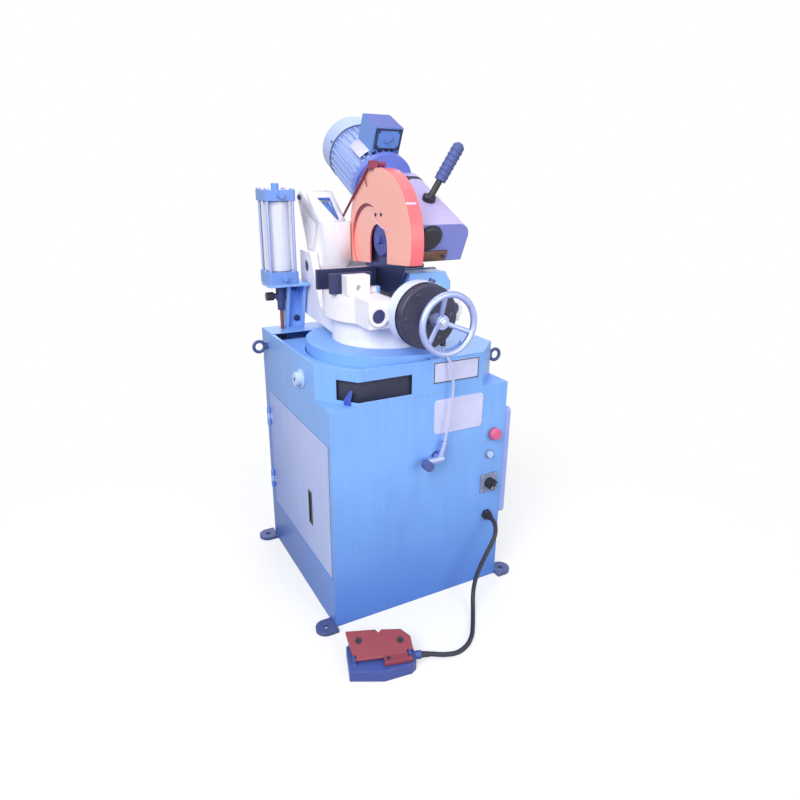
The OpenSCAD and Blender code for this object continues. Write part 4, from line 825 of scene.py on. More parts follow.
def band(name, radius, height, thickness):
    """A round band about Z, made of an open cylinder."""
    sides = {"vertices": 96, "end_fill_type": "NOTHING"}
    return thicken(start(name, "cylinder", radius=radius, depth=height, **sides), thickness)


def frame_strip(name, width, height, strip, thickness):
    """A flat rectangular frame."""
    edge = start(name, "plane", size=1)
    edit(edge, "FACE", anywhere, resize(width, height, 1), inset(strip), DELETE_FACES)
    return thicken(edge, thickness)


def cut(piece, tool):
    """Takes a tool's shape out of a piece and removes the tool."""
    modify(piece, "BOOLEAN", operation="DIFFERENCE", object=tool)
    bpy.data.objects.remove(tool)
    return piece


def join(name, pieces):
    """Joins pieces into one."""
    pick(*pieces)
    if len(pieces) > 1:
        bpy.ops.object.join()
    bpy.context.object.name = name
    return bpy.context.object


def put(piece, place):
    """Moves a piece by a matrix and keeps the place in its mesh."""
    pick(piece)
    piece.matrix_world = place
    bpy.ops.object.transform_apply(location=True, rotation=True, scale=True)
    return piece


def copies(master, name, places, keep=False):
    """Copies of one shape, each with its own mesh, placed and joined; the master goes unless kept."""
    made = []
    for place in places:
        pick(master)
        bpy.ops.object.duplicate()
        made.append(put(bpy.context.object, place))
    if not keep:
        bpy.data.objects.remove(master)
    return join(name, made)


def settle(piece, finish, body, place=None, angle=35):
    """Puts a piece in its place and gives it its smoothing, finish and body."""
    put(piece, place or Matrix())
    bpy.ops.object.shade_smooth_by_angle(angle=math.radians(angle))
    paint(piece, finish)
    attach(piece, body)
    return piece


def at(x, y, z):
    """Frame at a place, unturned."""
    return Matrix.Translation((x, y, z))


def facing(place, direction, size=1.0, turn=0.0):
    """Frame at a place with Z along a direction."""
    return (
        Matrix.Translation(place)
        @ Vector(direction).to_track_quat("Z", "Y").to_matrix().to_4x4()
        @ Matrix.Rotation(turn, 4, "Z")
        @ Matrix.Scale(size, 4)
    )


def on_worm(x, s, n):
    """Frame that leans with the worm axis: s runs along it and n across it."""
    return Matrix.Translation(WORM) @ Matrix.Rotation(MOTOR_TILT, 4, "X") @ at(x, s, n)


def along_worm(s):
    """Frame on the worm axis with Z along it."""
    return on_worm(WORM_X, s, 0) @ Matrix.Rotation(-math.pi / 2, 4, "X")


def spot_on_worm(x, s, n, direction=FORWARD):
    """Place and outward direction of a point on the leaning head."""
    here = on_worm(x, s, n)
    return here.translation, here.to_3x3() @ Vector(direction)


def on_rim(x, reach, angle):
    """Place at a reach and an angle from the blade's axis, for pieces on the guard's rim."""
    return Vector((x, BLADE.y + reach * math.cos(angle), BLADE.z + reach * math.sin(angle)))


def on_treadle(x, y, z, tilt=TREADLE_TILT):
    """Frame on the foot treadle, measured from its hinge."""
    return (
        Matrix.Translation(TREADLE)
        @ Matrix.Rotation(TREADLE_TURN, 4, "Z")
        @ Matrix.Translation(TREADLE_HINGE)
        @ Matrix.Rotation(tilt, 4, "X")
        @ at(x, y, z)
    )


class SAW_OT_cords(bpy.types.Operator):
    """Lays the foot switch cable and the air hose"""

    bl_idname = "saw.cords"
    bl_label = "Cords"

    def execute(self, context):
        cable = context.scene.saw_sizes.cable
        hose = context.scene.saw_sizes.hose
        laid = (
            ("foot_switch_cable", CABLE_ROUTE, cable, "rubber", "cable_rubber", "foot_cable", "loose"),
            ("vise_air_hose", HOSE_ROUTE, hose, "hose", "hose_clear", "air_hose", "hanging"),
        )
        for name, route, diameter, finish, slot, node, lay in laid:
            points = spline_points(route, 5)
            piece = tube_curve(name, points, diameter / 2, 4)
            paint(piece, finish)
            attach(piece, "stand")
            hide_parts(node)
            run_length(points)
        return {"FINISHED"}


class SAW_OT_spring(bpy.types.Operator):
    """Winds the return spring between the pedestal and the lever"""

    bl_idname = "saw.spring"
    bl_label = "Return spring"

    def execute(self, context):
        sizes = context.scene.saw_sizes
        pin_radius = 0.006
        gap = 0.0003
        drop = 0.026
        steps = 24
        reach = (HOOK - ANCHOR).length
        hook = pin_radius + sizes.wire / 2 + gap
        low = [(0, hook * math.cos(a), -hook * math.sin(a)) for a in arc(180, 0, 12)]
        high = [(0, hook * math.cos(a), reach + hook * math.sin(a)) for a in arc(0, 180, 12)]
        last = steps * sizes.curls
        coil = []
        for k in range(last + 1):
            a = math.pi / 2 + math.tau * k / steps
            height = drop + (reach - 2 * drop) * k / last
            coil.append((sizes.coil * math.cos(a), sizes.coil * math.sin(a), height))
        lean = Matrix.Rotation(-math.atan2(HOOK.y - ANCHOR.y, HOOK.z - ANCHOR.z), 4, "X")
        place = Matrix.Translation(ANCHOR) @ lean
        points = [place @ Vector(p) for p in (*low, *coil, *high)]
        piece = to_mesh(tube_curve("wound_spring", points, sizes.wire / 2, 2))
        paint(piece, "steel")
        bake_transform(piece)
        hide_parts("return_spring")
        return {"FINISHED"}


def cap_screw():
    """Round screw head with a hexagon socket, one unit in radius."""
    head = start("cap_screw", "cylinder", vertices=24, radius=1, depth=1, location=(0, 0, 0.5))
    bevel(head, 0.14, lambda a, b: min(a.z, b.z) > 0.99)
    socket = start("socket", "cylinder", vertices=6, radius=0.56, depth=1.2, location=(0, 0, 1.05))
    return cut(head, socket)


def pan_screw():
    """Domed screw head with a slot, one unit in radius."""
    head = start("pan_screw", "cylinder", vertices=20, radius=1, depth=0.6, location=(0, 0, 0.3))
    bevel(head, 0.42, lambda a, b: min(a.z, b.z) > 0.59, 4)
    slot = start("slot", "cube", size=1, location=(0, 0, 0.6), scale=(2.4, 0.26, 0.5))
    return cut(head, slot)


def hex_bolt():
    """Hexagon head on a washer, one unit in radius."""
    washer = start("washer", "cylinder", vertices=28, radius=1.3, depth=0.22, location=(0, 0, 0.11))
    bevel(washer, 0.06, lambda a, b: min(a.z, b.z) > 0.2)
    head = start("hex_head", "cylinder", vertices=6, radius=1, depth=0.7, location=(0, 0, 0.55))
    bevel(head, 0.1, lambda a, b: min(a.z, b.z) > 0.85)
    return join("hex_bolt", [washer, head])


def corners(place, across, up):
    """Four spots round a place on the cabinet's front."""
    return [
        (place + Vector((x, 0, z)), FORWARD) for x in (-across, across) for z in (-up, up)
    ]


class SAW_OT_screws(bpy.types.Operator):
    """Sets the screws, bolts and rivets in their groups"""

    bl_idname = "saw.screws"
    bl_label = "Screws and bolts"

    def execute(self, context):
        masters = {"cap": cap_screw(), "pan": pan_screw(), "hex": hex_bolt()}
        for name, kind, size, finish, body, spots in (*self.cabinet_groups(), *self.head_groups()):
            places = [facing(spot, out, size, 0.5 * k) for k, (spot, out) in enumerate(spots)]
            settle(copies(masters[kind], name, places, keep=True), finish, body)
        for master in masters.values():
            bpy.data.objects.remove(master)
        return {"FINISHED"}

    def cabinet_groups(self):
        """Name, kind, radius, finish, body and spots of each group on the cabinet and vise."""
        inset_by = 0.018
        rows = (COVER_LOW.z + inset_by, COVER_HIGH.z - inset_by)
        columns = (COVER_LOW.y + inset_by, middle("electrical_cover").y, COVER_HIGH.y - inset_by)
        cover = [((COVER_HIGH.x, y, z), RIGHTWARD) for y in columns for z in rows]
        legend = Vector((SELECTOR.x, FRONT - 0.004, SELECTOR.z))
        hinge_x = LEFT - 0.002
        hinges = [((hinge_x, 0.283, z + up), LEFTWARD) for z in HINGES for up in (0.011, 0.055)]
        leaves = [((hinge_x, 0.246, z + HINGE_HEIGHT / 2), LEFTWARD) for z in HINGES]
        bracket = [((x, 0.2794, z), FORWARD) for x, z in ((-0.186, 0.948), (-0.180, 0.843))]
        lean = math.radians(65)
        band_radius = 0.0942
        out = Vector((math.cos(lean), 0, math.sin(lean)))
        plug = [(Vector((0, -0.252, VISE_HEIGHT)) + band_radius * out, out)]
        rear = [((x, REAR, z), (0, 1, 0)) for x in (-0.25, 0, 0.25) for z in (0.06, 0.66)]
        return (
            ("cover_screws", "pan", 0.0055, "steel", "stand", cover),
            ("plate_rivets", "pan", 0.0024, "steel", "stand", corners(UPPER_PLATE, 0.0715, 0.0245)),
            ("blank_plate_rivets", "pan", 0.0024, "steel", "stand", corners(LOWER_PLATE, 0.077, 0.045)),
            ("selector_screws", "pan", 0.0026, "steel", "stand", corners(legend, 0.026, 0.026)),
            ("hinge_screws", "pan", 0.004, "door", "stand", hinges),
            ("hinge_leaf_screws", "pan", 0.004, "door", "door", leaves),
            ("bracket_bolts", "hex", 0.0085, "dark_steel", "stand", bracket),
            ("vise_plug", "cap", 0.0095, "dark_steel", "stand", plug),
            ("rear_panel_screws", "hex", 0.006, "steel", "stand", rear),
        )

    def head_groups(self):
        """Name, kind, radius, finish, body and spots of each group on the saw head."""
        lid = [
            spot_on_worm(WORM_X + x, LID_FACE + 0.0005, LID_HEIGHT + n)
            for x in (-0.034, 0.034) for n in (-0.023, 0.023)
        ]
        cap = [
            spot_on_worm(WORM_X + 0.0345 * math.cos(a), BEARING_FACE, 0.0345 * math.sin(a))
            for a in (0.6, 2.2, 3.7, 5.3)
        ]
        bar = [spot_on_worm(BAR.x + x, BAR.y - 0.0032, BAR.z) for x in (-0.036, 0.036)]
        foot = [
            spot_on_worm(0.137 + 0.0152 * math.cos(a), 0.024 + 0.0152 * math.sin(a), 0.056, UP)
            for a in (0.9, 2.6, 4.3)
        ]
        guard = [((-0.0206, -0.020, 1.201), LEFTWARD), ((-0.021, -0.057, 1.203), LEFTWARD)]
        pin = [((-0.1181, *HOOK.yz), LEFTWARD), ((-0.0259, *HOOK.yz), RIGHTWARD)]
        cowl = []
        for a in arc(20, 290, 3):
            out = (math.sin(a), 0, math.cos(a))
            cowl.append(spot_on_worm(WORM_X + 0.100 * out[0], 0.4406, 0.100 * out[2], out))
        return (
            ("lid_screws", "pan", 0.0036, "dark_steel", "head", lid),
            ("bearing_cap_screws", "cap", 0.0042, "dark_steel", "head", cap),
            ("brass_bar_screws", "cap", 0.0050, "dark_steel", "head", bar),
            ("handle_foot_screws", "cap", 0.0036, "dark_steel", "head", foot),
            ("guard_screws", "pan", 0.0055, "dark_steel", "head", guard),
            ("hook_pin_ends", "cap", 0.0085, "dark_steel", "head", pin),
            ("cowl_screws", "pan", 0.0042, "dark_steel", "head", cowl),
        )


class SAW_OT_head_parts(bpy.types.Operator):
    """Makes the small pieces of the saw head and opens the channel of its lever"""

    bl_idname = "saw.head_parts"
    bl_label = "Head parts"

    def execute(self, context):
        self.bearing_flange()
        self.brass_bar()
        self.motor_plate()
        self.spray_tubes(context.scene.saw_sizes.spray)
        self.fan()
        self.lever()
        self.groove()
        self.vent()
        self.cowl_seam()
        self.rim_highlight()
        self.lid_frame()
        self.coolant_union()
        self.rim_hose(context.scene.saw_sizes.hose)
        return {"FINISHED"}

    def bearing_flange(self):
        """Dark flange round the bearing cap."""
        thickness = 0.0032
        flange = start("bearing_flange", "cylinder", vertices=64, radius=0.0405, depth=thickness)
        place = along_worm(BEARING_FACE + thickness / 2)
        settle(bevel(flange, 0.0008), "black", "head", place)

    def brass_bar(self):
        """Brown bar under the bearing cap, with a raised middle."""
        bar = start("brass_bar", "cube", size=1, scale=(0.098, 0.006, 0.034))
        edit(bar, "FACE", lambda spot, out: out.y < -0.9, inset(0.003), move(0, -0.0012, 0))
        settle(bevel(bar, 0.0008), "brass", "head", on_worm(*BAR))

    def motor_plate(self):
        """Bare plate that follows the fins of the motor."""
        sides = {"vertices": 180, "end_fill_type": "NOTHING"}
        plate = start("motor_plate", "cylinder", radius=0.1004, depth=0.086, **sides)
        turn = math.radians(37)
        half_width = math.radians(12)
        out_way = Vector((-math.sin(turn), -math.cos(turn), 0))
        edit(plate, "FACE", lambda spot, out: out.dot(out_way) < math.cos(half_width), DELETE_FACES)
        settle(thicken(plate, 0.0012), "plate", "head", along_worm(0.298), 50)

    def spray_tubes(self, diameter):
        """Thin coolant tubes: one from the fitting into the guard, one across the arch."""
        face = -0.0234
        high = (
            (-0.027, 0.034, 1.3215), (-0.0262, 0.0445, 1.3065),
            (face, 0.041, 1.290), (-0.021, 0.037, 1.279),
        )
        low = (
            (-0.021, -0.004, 1.199), (face, -0.016, 1.191), (-0.0252, -0.040, 1.178),
            (-0.0252, -0.066, 1.168), (face, -0.090, 1.162),
        )
        feed = to_mesh(tube_curve("spray_feed", spline_points(high, 6), diameter / 2, 3))
        settle(feed, "coolant", "head")
        tube = to_mesh(tube_curve("spray_pipe", spline_points(low, 6), diameter / 2, 3))
        nozzle = start("nozzle", "cone", vertices=20, radius1=0.0034, radius2=0.0018, depth=0.012)
        put(bevel(nozzle, 0.0004), facing((face, -0.096, 1.1605), (0, 0.97, 0.24)))
        settle(join("spray_pipe", [tube, nozzle]), "spray", "head")

    def lever(self):
        """Head casting with the channel of its rear lever open at the top, its inner faces in painted
        blue shade, and a sheet of painted shade below the channel.
        """
        piece = add_object("open_lever", NODES["head_arm"].data.copy())
        edit(piece, "FACE", anywhere, MERGE)
        slope = LEVER_HIGH - LEVER_LOW
        channel = Vector((0.046, slope.length * 0.72, 0.05))
        tool = start("channel", "cube", size=1, scale=channel)
        edit(tool, "FACE", lambda spot, out: out.y < -0.9, resize(0.2, 1, 1), move(0.016, 0, 0))
        lean = Matrix.Rotation(math.atan2(slope.z, slope.y), 4, "X")
        place = Matrix.Translation(LEVER_LOW + slope * 0.42 + Vector((-0.067, 0, 0))) @ lean
        cut(piece, put(tool, place))
        settle(piece, "casting", "head")
        # Painted blue shade goes on the faces inside the cut channel
        piece.data.materials.append(FINISH["lining"])
        slack = 0.0005
        for face in piece.data.polygons:
            spot = place.inverted() @ face.center
            out = lean.inverted().to_3x3() @ face.normal
            inside = all(abs(part) < size / 2 + slack for part, size in zip(spot, channel))
            if inside and (out.z < 0.5 or spot.z < -0.02):
                face.material_index = 1
        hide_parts("head_arm")
        # A sheet of painted shade below the channel, where only shade shows
        base = start("lever_shade_sheet", "cube", size=1, scale=(channel.x, slope.length * 0.74, 0.002))
        settle(bevel(base, 0.0005), "lining", "head", place @ at(0, 0, -0.022))

    def groove(self):
        """Painted shadow: a dark arc in the upper rear of the guard's recess, below its step."""
        disc = {"kind": "cylinder", "vertices": 160, "rotation": (0, math.pi / 2, 0)}
        blank = start("guard_recess_shadow", radius=0.1116, depth=0.0016, **disc)
        shift = 0.034
        lean = math.radians(60)
        away = (0, -shift * math.cos(lean), -shift * math.sin(lean))
        cut(blank, start("tool", radius=0.1335, depth=0.01, location=away, **disc))
        taper = Matrix.Rotation(-GUARD_TAPER, 4, "Z")
        place = Matrix.Translation(RECESS + Vector((0.0005, 0, 0))) @ taper
        settle(bevel(blank, 0.0002, segments=1), "groove", "head", place)

    def vent(self):
        """Dark strip of painted shade for the slot across the top of the gear housing and round its
        edge.
        """
        top = 0.0422
        edge = 0.169
        round_part = [(edge + top * math.sin(a), top * math.cos(a)) for a in arc(0, 34, 10)]
        strip = ribbon("housing_vent_shade", [(0.122, top), *round_part], 0.017, 0.0012)
        place = on_worm(0, 0.173, 0) @ Matrix.Rotation(math.pi / 2, 4, "X")
        settle(bevel(strip, 0.0003, segments=1), "shadow", "head", place)

    def cowl_seam(self):
        """Dark sealing band between the motor and its cowl."""
        seam = band("cowl_seam", 0.1000, 0.0034, 0.0009)
        settle(seam, "shadow", "head", along_worm(0.4284))

    def rim_highlight(self):
        """Painted highlight: a pale strip over the rim of the guard."""
        a = math.radians(147)
        strap = start("rim_highlight", "cube", size=1, scale=(0.032, 0.006, 0.0016))
        place = Matrix.Translation(on_rim(-0.005, 0.2044, a)) @ Matrix.Rotation(a - math.pi / 2, 4, "X")
        settle(bevel(strap, 0.0005), "plate", "head", place)

    def lid_frame(self):
        """Dark gasket round the lid of the terminal box."""
        gasket = frame_strip("lid_frame", 0.086, 0.064, 0.0052, 0.0010)
        place = facing(*spot_on_worm(WORM_X, LID_FACE, LID_HEIGHT))
        settle(gasket, "shadow", "head", place)

    def coolant_union(self):
        """Coolant union over the guard with its nuts."""
        barrel = bevel(start("barrel", "cylinder", vertices=28, radius=0.0058, depth=0.050), 0.001)
        nut = bevel(start("nut", "cylinder", vertices=6, radius=0.0086, depth=0.009), 0.001)
        nuts = copies(nut, "nuts", [at(0, 0, z) for z in (-0.018, 0.006, 0.020)])
        place = facing((-0.001, 0.006, 1.3420), RIGHTWARD)
        settle(join("coolant_union", [barrel, nuts]), "coolant", "head", place)

    def rim_hose(self, diameter):
        """Short pale hose from the union down the rim of the guard."""
        route = [on_rim(-0.016, 0.2095, a) for a in arc(76, 14, 24)]
        hose = to_mesh(tube_curve("rim_hose", route, diameter * 0.45, 3))
        settle(hose, "pale", "head")

    def fan(self):
        """Fan behind the slots of the cowl; it turns with the worm shaft."""
        count = 7
        hub = bevel(start("fan_hub", "cylinder", vertices=36, radius=0.026, depth=0.04), 0.003)
        blade = start("fan_blade", "cube", size=1, location=(0.052, 0, 0), scale=(0.064, 0.0025, 0.03))
        put(bevel(blade, 0.0008), Matrix.Rotation(math.radians(28), 4, "X"))
        turns = [Matrix.Rotation(math.tau * k / count, 4, "Z") for k in range(count)]
        fan = join("motor_fan", [hub, copies(blade, "fan_blades", turns)])
        settle(fan, "black", "worm", along_worm(0.4575))


class SAW_OT_tank_parts(bpy.types.Operator):
    """Fills the oil tank and sets its seals, sleeve and valve barrel"""

    bl_idname = "saw.tank_parts"
    bl_label = "Tank parts"

    def execute(self, context):
        self.oil(context.scene.saw_sizes.oil_level)
        self.seals()
        barrel = start("valve_barrel", "cylinder", vertices=36, radius=0.0125, depth=0.034)
        settle(bevel(barrel, 0.002), "barrel", "stand", self.up(-0.1135))
        sleeve = band("tank_sleeve", 0.0458, 0.2192, 0.0016)
        settle(sleeve, "sleeve", "stand", self.up(0.110))
        return {"FINISHED"}

    def up(self, height):
        """Frame on the tank's axis at a height above the tube's lower end."""
        return at(*TANK.xy, TANK_FLOOR + height)

    def oil(self, level):
        """Oil with a slightly hollow surface."""
        oil = start("tank_oil", "cylinder", vertices=64, radius=0.0356, depth=level)
        edit(oil, "FACE", on_top, inset(0.002), move(0, 0, -0.0015))
        settle(oil, "oil", "stand", self.up(level / 2 + 0.0005))

    def seals(self):
        """Rubber rings at both ends of the tube."""
        rings = {"major_segments": 64, "minor_segments": 10}
        seal = start("seal", "torus", major_radius=0.0402, minor_radius=0.0018, **rings)
        seals = copies(seal, "tank_seals", [self.up(height) for height in (0.0012, 0.2188)])
        settle(seals, "rubber", "stand")


class SAW_OT_cabinet_parts(bpy.types.Operator):
    """Makes the small pieces of the cabinet, its tray and the vise's seat"""

    bl_idname = "saw.cabinet_parts"
    bl_label = "Cabinet parts"

    def execute(self, context):
        self.plate_frame()
        self.louvres()
        self.strainer()
        self.slot_tab()
        self.cable_sleeve()
        self.valve_nut()
        self.chip_slot_shade()
        self.plinth_skirt()
        self.vise_band()
        self.tray_covers()
        self.plug_flange()
        self.door_gap_shade()
        return {"FINISHED"}

    def plate_frame(self):
        """Thin dark frame round the upper bare plate."""
        edge = frame_strip("plate_frame", 0.1566, 0.0626, 0.0026, 0.0008)
        settle(edge, "black", "stand", facing(UPPER_PLATE, FORWARD))

    def louvres(self):
        """Pressed louvres on the back of the cabinet."""
        depth = 0.009
        slat = start("louvre", "cube", size=1, scale=(0.16, depth, 0.016))
        bevel(slat, 0.008, lambda a, b: min(a.y, b.y) > 0.004 and min(a.z, b.z) > 0.007, 5)
        spots = [at(x, REAR + depth / 2, 0.5 - 0.026 * k) for x in (-0.12, 0.12) for k in range(7)]
        rows = copies(bevel(slat, 0.0012), "rear_louvres", spots)
        settle(rows, "cabinet", "stand")

    def strainer(self):
        """Perforated strainer in the drain of the chip tray."""
        disc = start("drain_strainer", "cylinder", vertices=48, radius=0.0275, depth=0.0024)
        bevel(disc, 0.0006)
        drill = start("drill", "cylinder", vertices=12, radius=0.0026, depth=0.02)
        spots = []
        for radius, count in ((0, 1), (0.0095, 6), (0.0185, 12)):
            turns = [math.tau * k / count for k in range(count)]
            spots += [at(radius * math.cos(a), radius * math.sin(a), 0) for a in turns]
        cut(disc, copies(drill, "holes", spots))
        settle(disc, "steel", "stand", at(0.235, 0.235, 0.7142))

    def slot_tab(self):
        """Small bent tab at the left end of the chip slot."""
        tab = start("slot_tab", "cube", size=1, scale=(0.022, 0.003, 0.014))
        edit(tab, "FACE", on_top, extrude(-0.013, 0, 0.030), resize(0.4, 1, 1))
        place = facing((-0.2360, -0.2753, 0.719), UP, turn=math.radians(-51))
        settle(bevel(tab, 0.0008), "lid", "stand", place)

    def cable_sleeve(self):
        """Tapered sleeve with four grooves where the cable enters the foot switch."""
        end = Vector(CABLE_ROUTE[-1])
        way = (Vector(CABLE_ROUTE[-2]) - end).normalized()
        sleeve = start("cable_sleeve", "cone", vertices=32, radius1=0.0106, radius2=0.0082, depth=0.026)
        heights = [-0.008 + 0.005 * k for k in range(4)]
        for height in heights:
            edit(sleeve, "FACE", anywhere, SELECT_ALL, bisect((0, 0, height), UP))
        edit(
            sleeve, "EDGE",
            lambda a, b: any(max(abs(a.z - h), abs(b.z - h)) < 0.0001 for h in heights),
            resize(0.9, 0.9, 1),
        )
        place = facing(end + way * 0.011, way)
        settle(sleeve, "rubber", "stand", place, 60)

    def valve_nut(self):
        """Hexagon nut of the air valve on the front panel."""
        nut = start("valve_nut", "cylinder", vertices=6, radius=0.0185, depth=0.007)
        place = facing((0.043, FRONT - 0.0036, 0.5076), FORWARD)
        settle(bevel(nut, 0.0012), "dark_steel", "stand", place)

    def chip_slot_shade(self):
        """Dark sheet of painted shade behind the chip slot."""
        outline = ((-0.036, -0.2868), (-0.2063, -0.2868), (-0.2745, -0.2020))
        sheet = bevel(ribbon("chip_slot_shade", outline, 0.068, 0.0012), 0.0003, segments=1)
        settle(sheet, "shadow", "stand", at(0, 0, 0.749))

    def plinth_skirt(self):
        """Curved strip over the upper edge of the plinth's chip window."""
        reach = PLINTH_RADIUS + 0.0006
        outline = [(reach * math.cos(a), reach * math.sin(a)) for a in arc(-170, -55, 60)]
        skirt = bevel(ribbon("plinth_skirt", outline, 0.020, 0.0010), 0.0002, segments=1)
        settle(skirt, "cabinet", "stand", at(*PLINTH.xy, TRAY_RIM - 0.023))

    def vise_band(self):
        """Pale band round the seat of the vise cylinder."""
        ring = band("vise_band", 0.0932, 0.0455, 0.0010)
        place = at(0, -0.26075, VISE_HEIGHT) @ Matrix.Rotation(math.pi / 2, 4, "X")
        settle(ring, "band", "stand", place)

    def tray_covers(self):
        """Flat covers over the right and the left rear of the tray, and the deck in its left half."""
        thickness = 0.0014
        lid = TRAY_RIM + 0.001
        deck = TRAY_RIM - 0.022
        right_corner = ((0.2502, -0.2502, 0), (1, -1, 0))
        left_corner = ((-0.2973, -0.1898, 0), (-0.7787, -0.6273, 0))
        covers = (
            (0.02, 0.2992, -0.2992, 0.165, lid, 0.0014, right_corner),
            (-0.2992, -0.06, 0.19, 0.2992, lid, 0.0014, right_corner),
            (-0.2964, 0.02, -0.2964, 0.19, deck, 0.0030, left_corner),
        )
        plates = []
        for left, right, front, back, height, gap, corner in covers:
            plate = start(
                "cover", "cube", size=1,
                location=((left + right) / 2, (front + back) / 2, height),
                scale=(right - left, back - front, thickness),
            )
            hole = start(
                "hole", "cylinder", vertices=160, radius=PLINTH_RADIUS + gap, depth=0.1,
                location=(*PLINTH.xy, height),
            )
            trim = bisect(*corner, use_fill=True, clear_outer=True)
            edit(cut(plate, hole), "FACE", anywhere, trim)
            plates.append(bevel(plate, 0.0003, segments=1))
        settle(join("tray_covers", plates), "cabinet", "stand")

    def plug_flange(self):
        """Pale flange of the tray plug, and a dark hexagon of painted shade for the socket in its end.
        """
        flange = start("plug_flange", "cylinder", vertices=48, radius=0.0285, depth=0.004)
        place = facing((LEFT - 0.002, *PLUG.yz), LEFTWARD)
        settle(bevel(flange, 0.001), "pale", "stand", place)
        # Painted shade for the socket's recess
        socket = start("plug_socket_shade", "cylinder", vertices=6, radius=0.0055, depth=0.0012)
        place = facing((LEFT - 0.0223, *PLUG.yz), LEFTWARD)
        settle(bevel(socket, 0.0003, segments=1), "shadow", "stand", place)

    def door_gap_shade(self):
        """Dark strip of painted shade in the gap along the front edge of the door."""
        depth = 0.0028
        seal = start("door_gap_shade", "cube", size=1, scale=(depth, 0.0034, 0.438))
        place = at(LEFT + depth / 2, -0.2821, DOOR.z)
        settle(bevel(seal, 0.0006), "shadow", "stand", place)


class SAW_OT_control_parts(bpy.types.Operator):
    """Makes the selector pointer, wheel nut and treadle studs"""

    bl_idname = "saw.control_parts"
    bl_label = "Control parts"

    def execute(self, context):
        self.pointer()
        self.wheel_nut()
        self.studs()
        return {"FINISHED"}

    def pointer(self):
        """Tapered pale mark on the selector knob."""
        mark = start("selector_pointer", "cube", size=1, scale=(0.012, 0.0012, 0.003))
        edit(mark, "FACE", lambda spot, out: out.x < -0.9, resize(1, 1, 0.4))
        turn = Matrix.Rotation(math.radians(-45), 4, "Y")
        place = at(SELECTOR.x, -0.3325, SELECTOR.z) @ turn @ at(-0.0105, 0, 0)
        settle(bevel(mark, 0.0003, segments=1), "plate", "selector", place)

    def wheel_nut(self):
        """Hexagon nut that holds the handwheel."""
        nut = hex_bolt()
        nut.name = "wheel_nut"
        place = facing((0, -0.3823, VISE_HEIGHT), FORWARD, 0.0105, 0.3)
        settle(nut, "steel", "handwheel", place)

    def studs(self):
        """Two round studs and a small square block on the treadle."""
        top = 0.004
        stud = start(
            "stud", "cylinder", vertices=32, radius=0.0095, depth=0.003, location=(0, 0, 0.0013)
        )
        edit(stud, "FACE", on_top, inset(0.0025), extrude(0, 0, -0.0016))
        spots = [on_treadle(x, y, top) for x, y in ((-0.060, 0.056), (0.058, 0.043))]
        studs = copies(bevel(stud, 0.0005), "treadle_studs", spots)
        block = start("block", "cube", size=1, location=(0, 0, 0.0008), scale=(0.010, 0.010, 0.0024))
        edit(block, "FACE", on_top, inset(0.002), move(0, 0, -0.0008))
        put(bevel(block, 0.0004), on_treadle(0.016, -0.012, top, 0))
        settle(join("treadle_studs", [studs, block]), "rubber", "treadle")


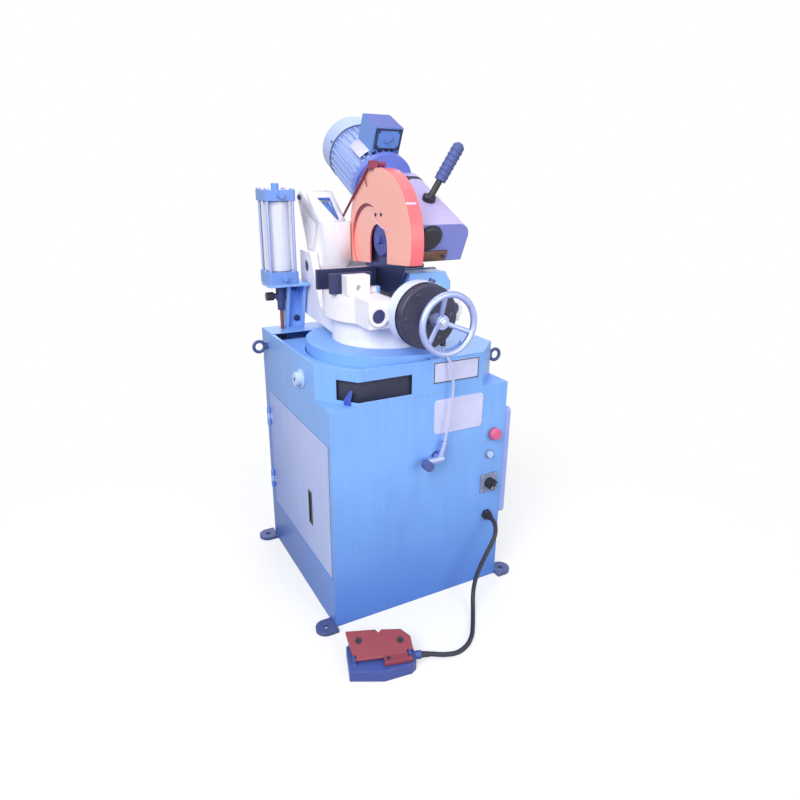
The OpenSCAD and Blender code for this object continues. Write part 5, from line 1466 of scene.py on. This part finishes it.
class SAW_OT_stage(bpy.types.Operator):
    """Sets the floor, the soft light and the camera"""

    bl_idname = "saw.stage"
    bl_label = "Stage"

    def execute(self, context):
        stage = context.scene.saw_stage
        deselect()
        bpy.ops.mesh.primitive_plane_add(size=14)
        floor = context.object
        floor.name = "floor"
        floor.data.materials.append(self.floor_finish(tuple(stage.backdrop)))
        self.sky(context.scene, tuple(stage.backdrop))
        self.lamp("key_light", (-2.8, -2.5, 3.1), 2.6, 146, (0, -0.05, 0.85))
        self.lamp("fill_light", (0.8, -3.6, 1.9), 2.4, 52, (0, -0.05, 0.75))
        self.lamp("rear_light", (1.6, 3.6, 2.4), 2.6, 34, (0, 0, 0.7))
        self.lamp("top_light", (0.2, 0.4, 4.0), 2.2, 26, (0, 0, 0.8))
        lens = bpy.data.cameras.new("photo_camera")
        lens.sensor_width = 36
        lens.lens = stage.lens
        camera = add_object("photo_camera", lens)
        camera.matrix_world = (
            Matrix.Translation(stage.eye)
            @ Matrix.Rotation(stage.heading, 4, "Z")
            @ Matrix.Rotation(math.pi / 2 - stage.pitch, 4, "X")
            @ Matrix.Rotation(stage.roll, 4, "Z")
        )
        context.scene.camera = camera
        context.scene.view_settings.view_transform = "Standard"
        return {"FINISHED"}

    def lamp(self, name, place, size, power, target):
        """A round soft lamp that looks at a target."""
        light = bpy.data.lights.new(name, "AREA")
        light.shape = "DISK"
        light.size = size
        light.energy = power
        aim = Vector(target) - Vector(place)
        turn = aim.to_track_quat("-Z", "Y").to_matrix().to_4x4()
        add_object(name, light).matrix_world = Matrix.Translation(place) @ turn

    def floor_finish(self, base):
        """Pale floor that fades into the background; a grey one lights the object from below."""
        g = Graph("pale_floor")
        away = g.add("ShaderNodeVectorMath", {"operation": "LENGTH"}, {0: g.place}, output=1)
        seen = g.seen()
        bright = g.tones(g.noise(160, 2), base, 0.93, 0.97)
        tone = g.blend(seen, shade(base, 0.2), bright)
        diffuse = g.add("ShaderNodeBsdfDiffuse", inputs={"Color": tone})
        glow = g.add("ShaderNodeEmission", inputs={"Color": with_alpha(base), "Strength": 1.0})
        cover = seen * (0.55 + 0.45 * away.step(0.7, 1.8))
        mixed = g.add("ShaderNodeMixShader", inputs={0: cover, 1: diffuse, 2: glow})
        g.add("ShaderNodeOutputMaterial", inputs={"Surface": mixed})
        return g.block

    def sky(self, scene, base):
        """Even soft light, with the background seen as plain as the floor."""
        scene.world = bpy.data.worlds.new("soft_sky")
        g = Graph("soft_sky", scene.world)
        light = g.add("ShaderNodeBackground", inputs={"Color": (0.93, 0.95, 1.0, 1), "Strength": 0.52})
        shown = g.add("ShaderNodeBackground", inputs={"Color": with_alpha(base), "Strength": 1.0})
        mixed = g.add("ShaderNodeMixShader", inputs={0: g.seen(), 1: light, 2: shown})
        g.add("ShaderNodeOutputWorld", inputs={"Surface": mixed})


OPERATORS = (
    SAW_OT_finishes, SAW_OT_stage, SAW_OT_cords, SAW_OT_spring, SAW_OT_screws, SAW_OT_head_parts,
    SAW_OT_tank_parts, SAW_OT_cabinet_parts, SAW_OT_control_parts,
)
SETTINGS = {"saw_colours": SawColours, "saw_sizes": SawSizes, "saw_stage": SawStage}


class SAW_PT_panel(bpy.types.Panel):
    """Lists the steps and settings of the cold saw"""

    bl_idname = "SAW_PT_panel"
    bl_label = "Cold Saw"
    bl_space_type = "VIEW_3D"
    bl_region_type = "UI"
    bl_category = "Cold Saw"

    def draw(self, context):
        for operator in OPERATORS:
            self.layout.operator(operator.bl_idname)
        for name, group in SETTINGS.items():
            for key in group.__annotations__:
                self.layout.prop(getattr(context.scene, name), key)


CLASSES = (*SETTINGS.values(), *OPERATORS, SAW_PT_panel)


def register():
    for each in CLASSES:
        bpy.utils.register_class(each)
    for name, group in SETTINGS.items():
        setattr(bpy.types.Scene, name, bpy.props.PointerProperty(type=group))


def unregister():
    for name in SETTINGS:
        delattr(bpy.types.Scene, name)
    for each in reversed(CLASSES):
        bpy.utils.unregister_class(each)


def main():
    register()
    for operator in OPERATORS:
        group, name = operator.bl_idname.split(".")
        getattr(getattr(bpy.ops, group), name)()


if __name__ == "__main__":
    main()
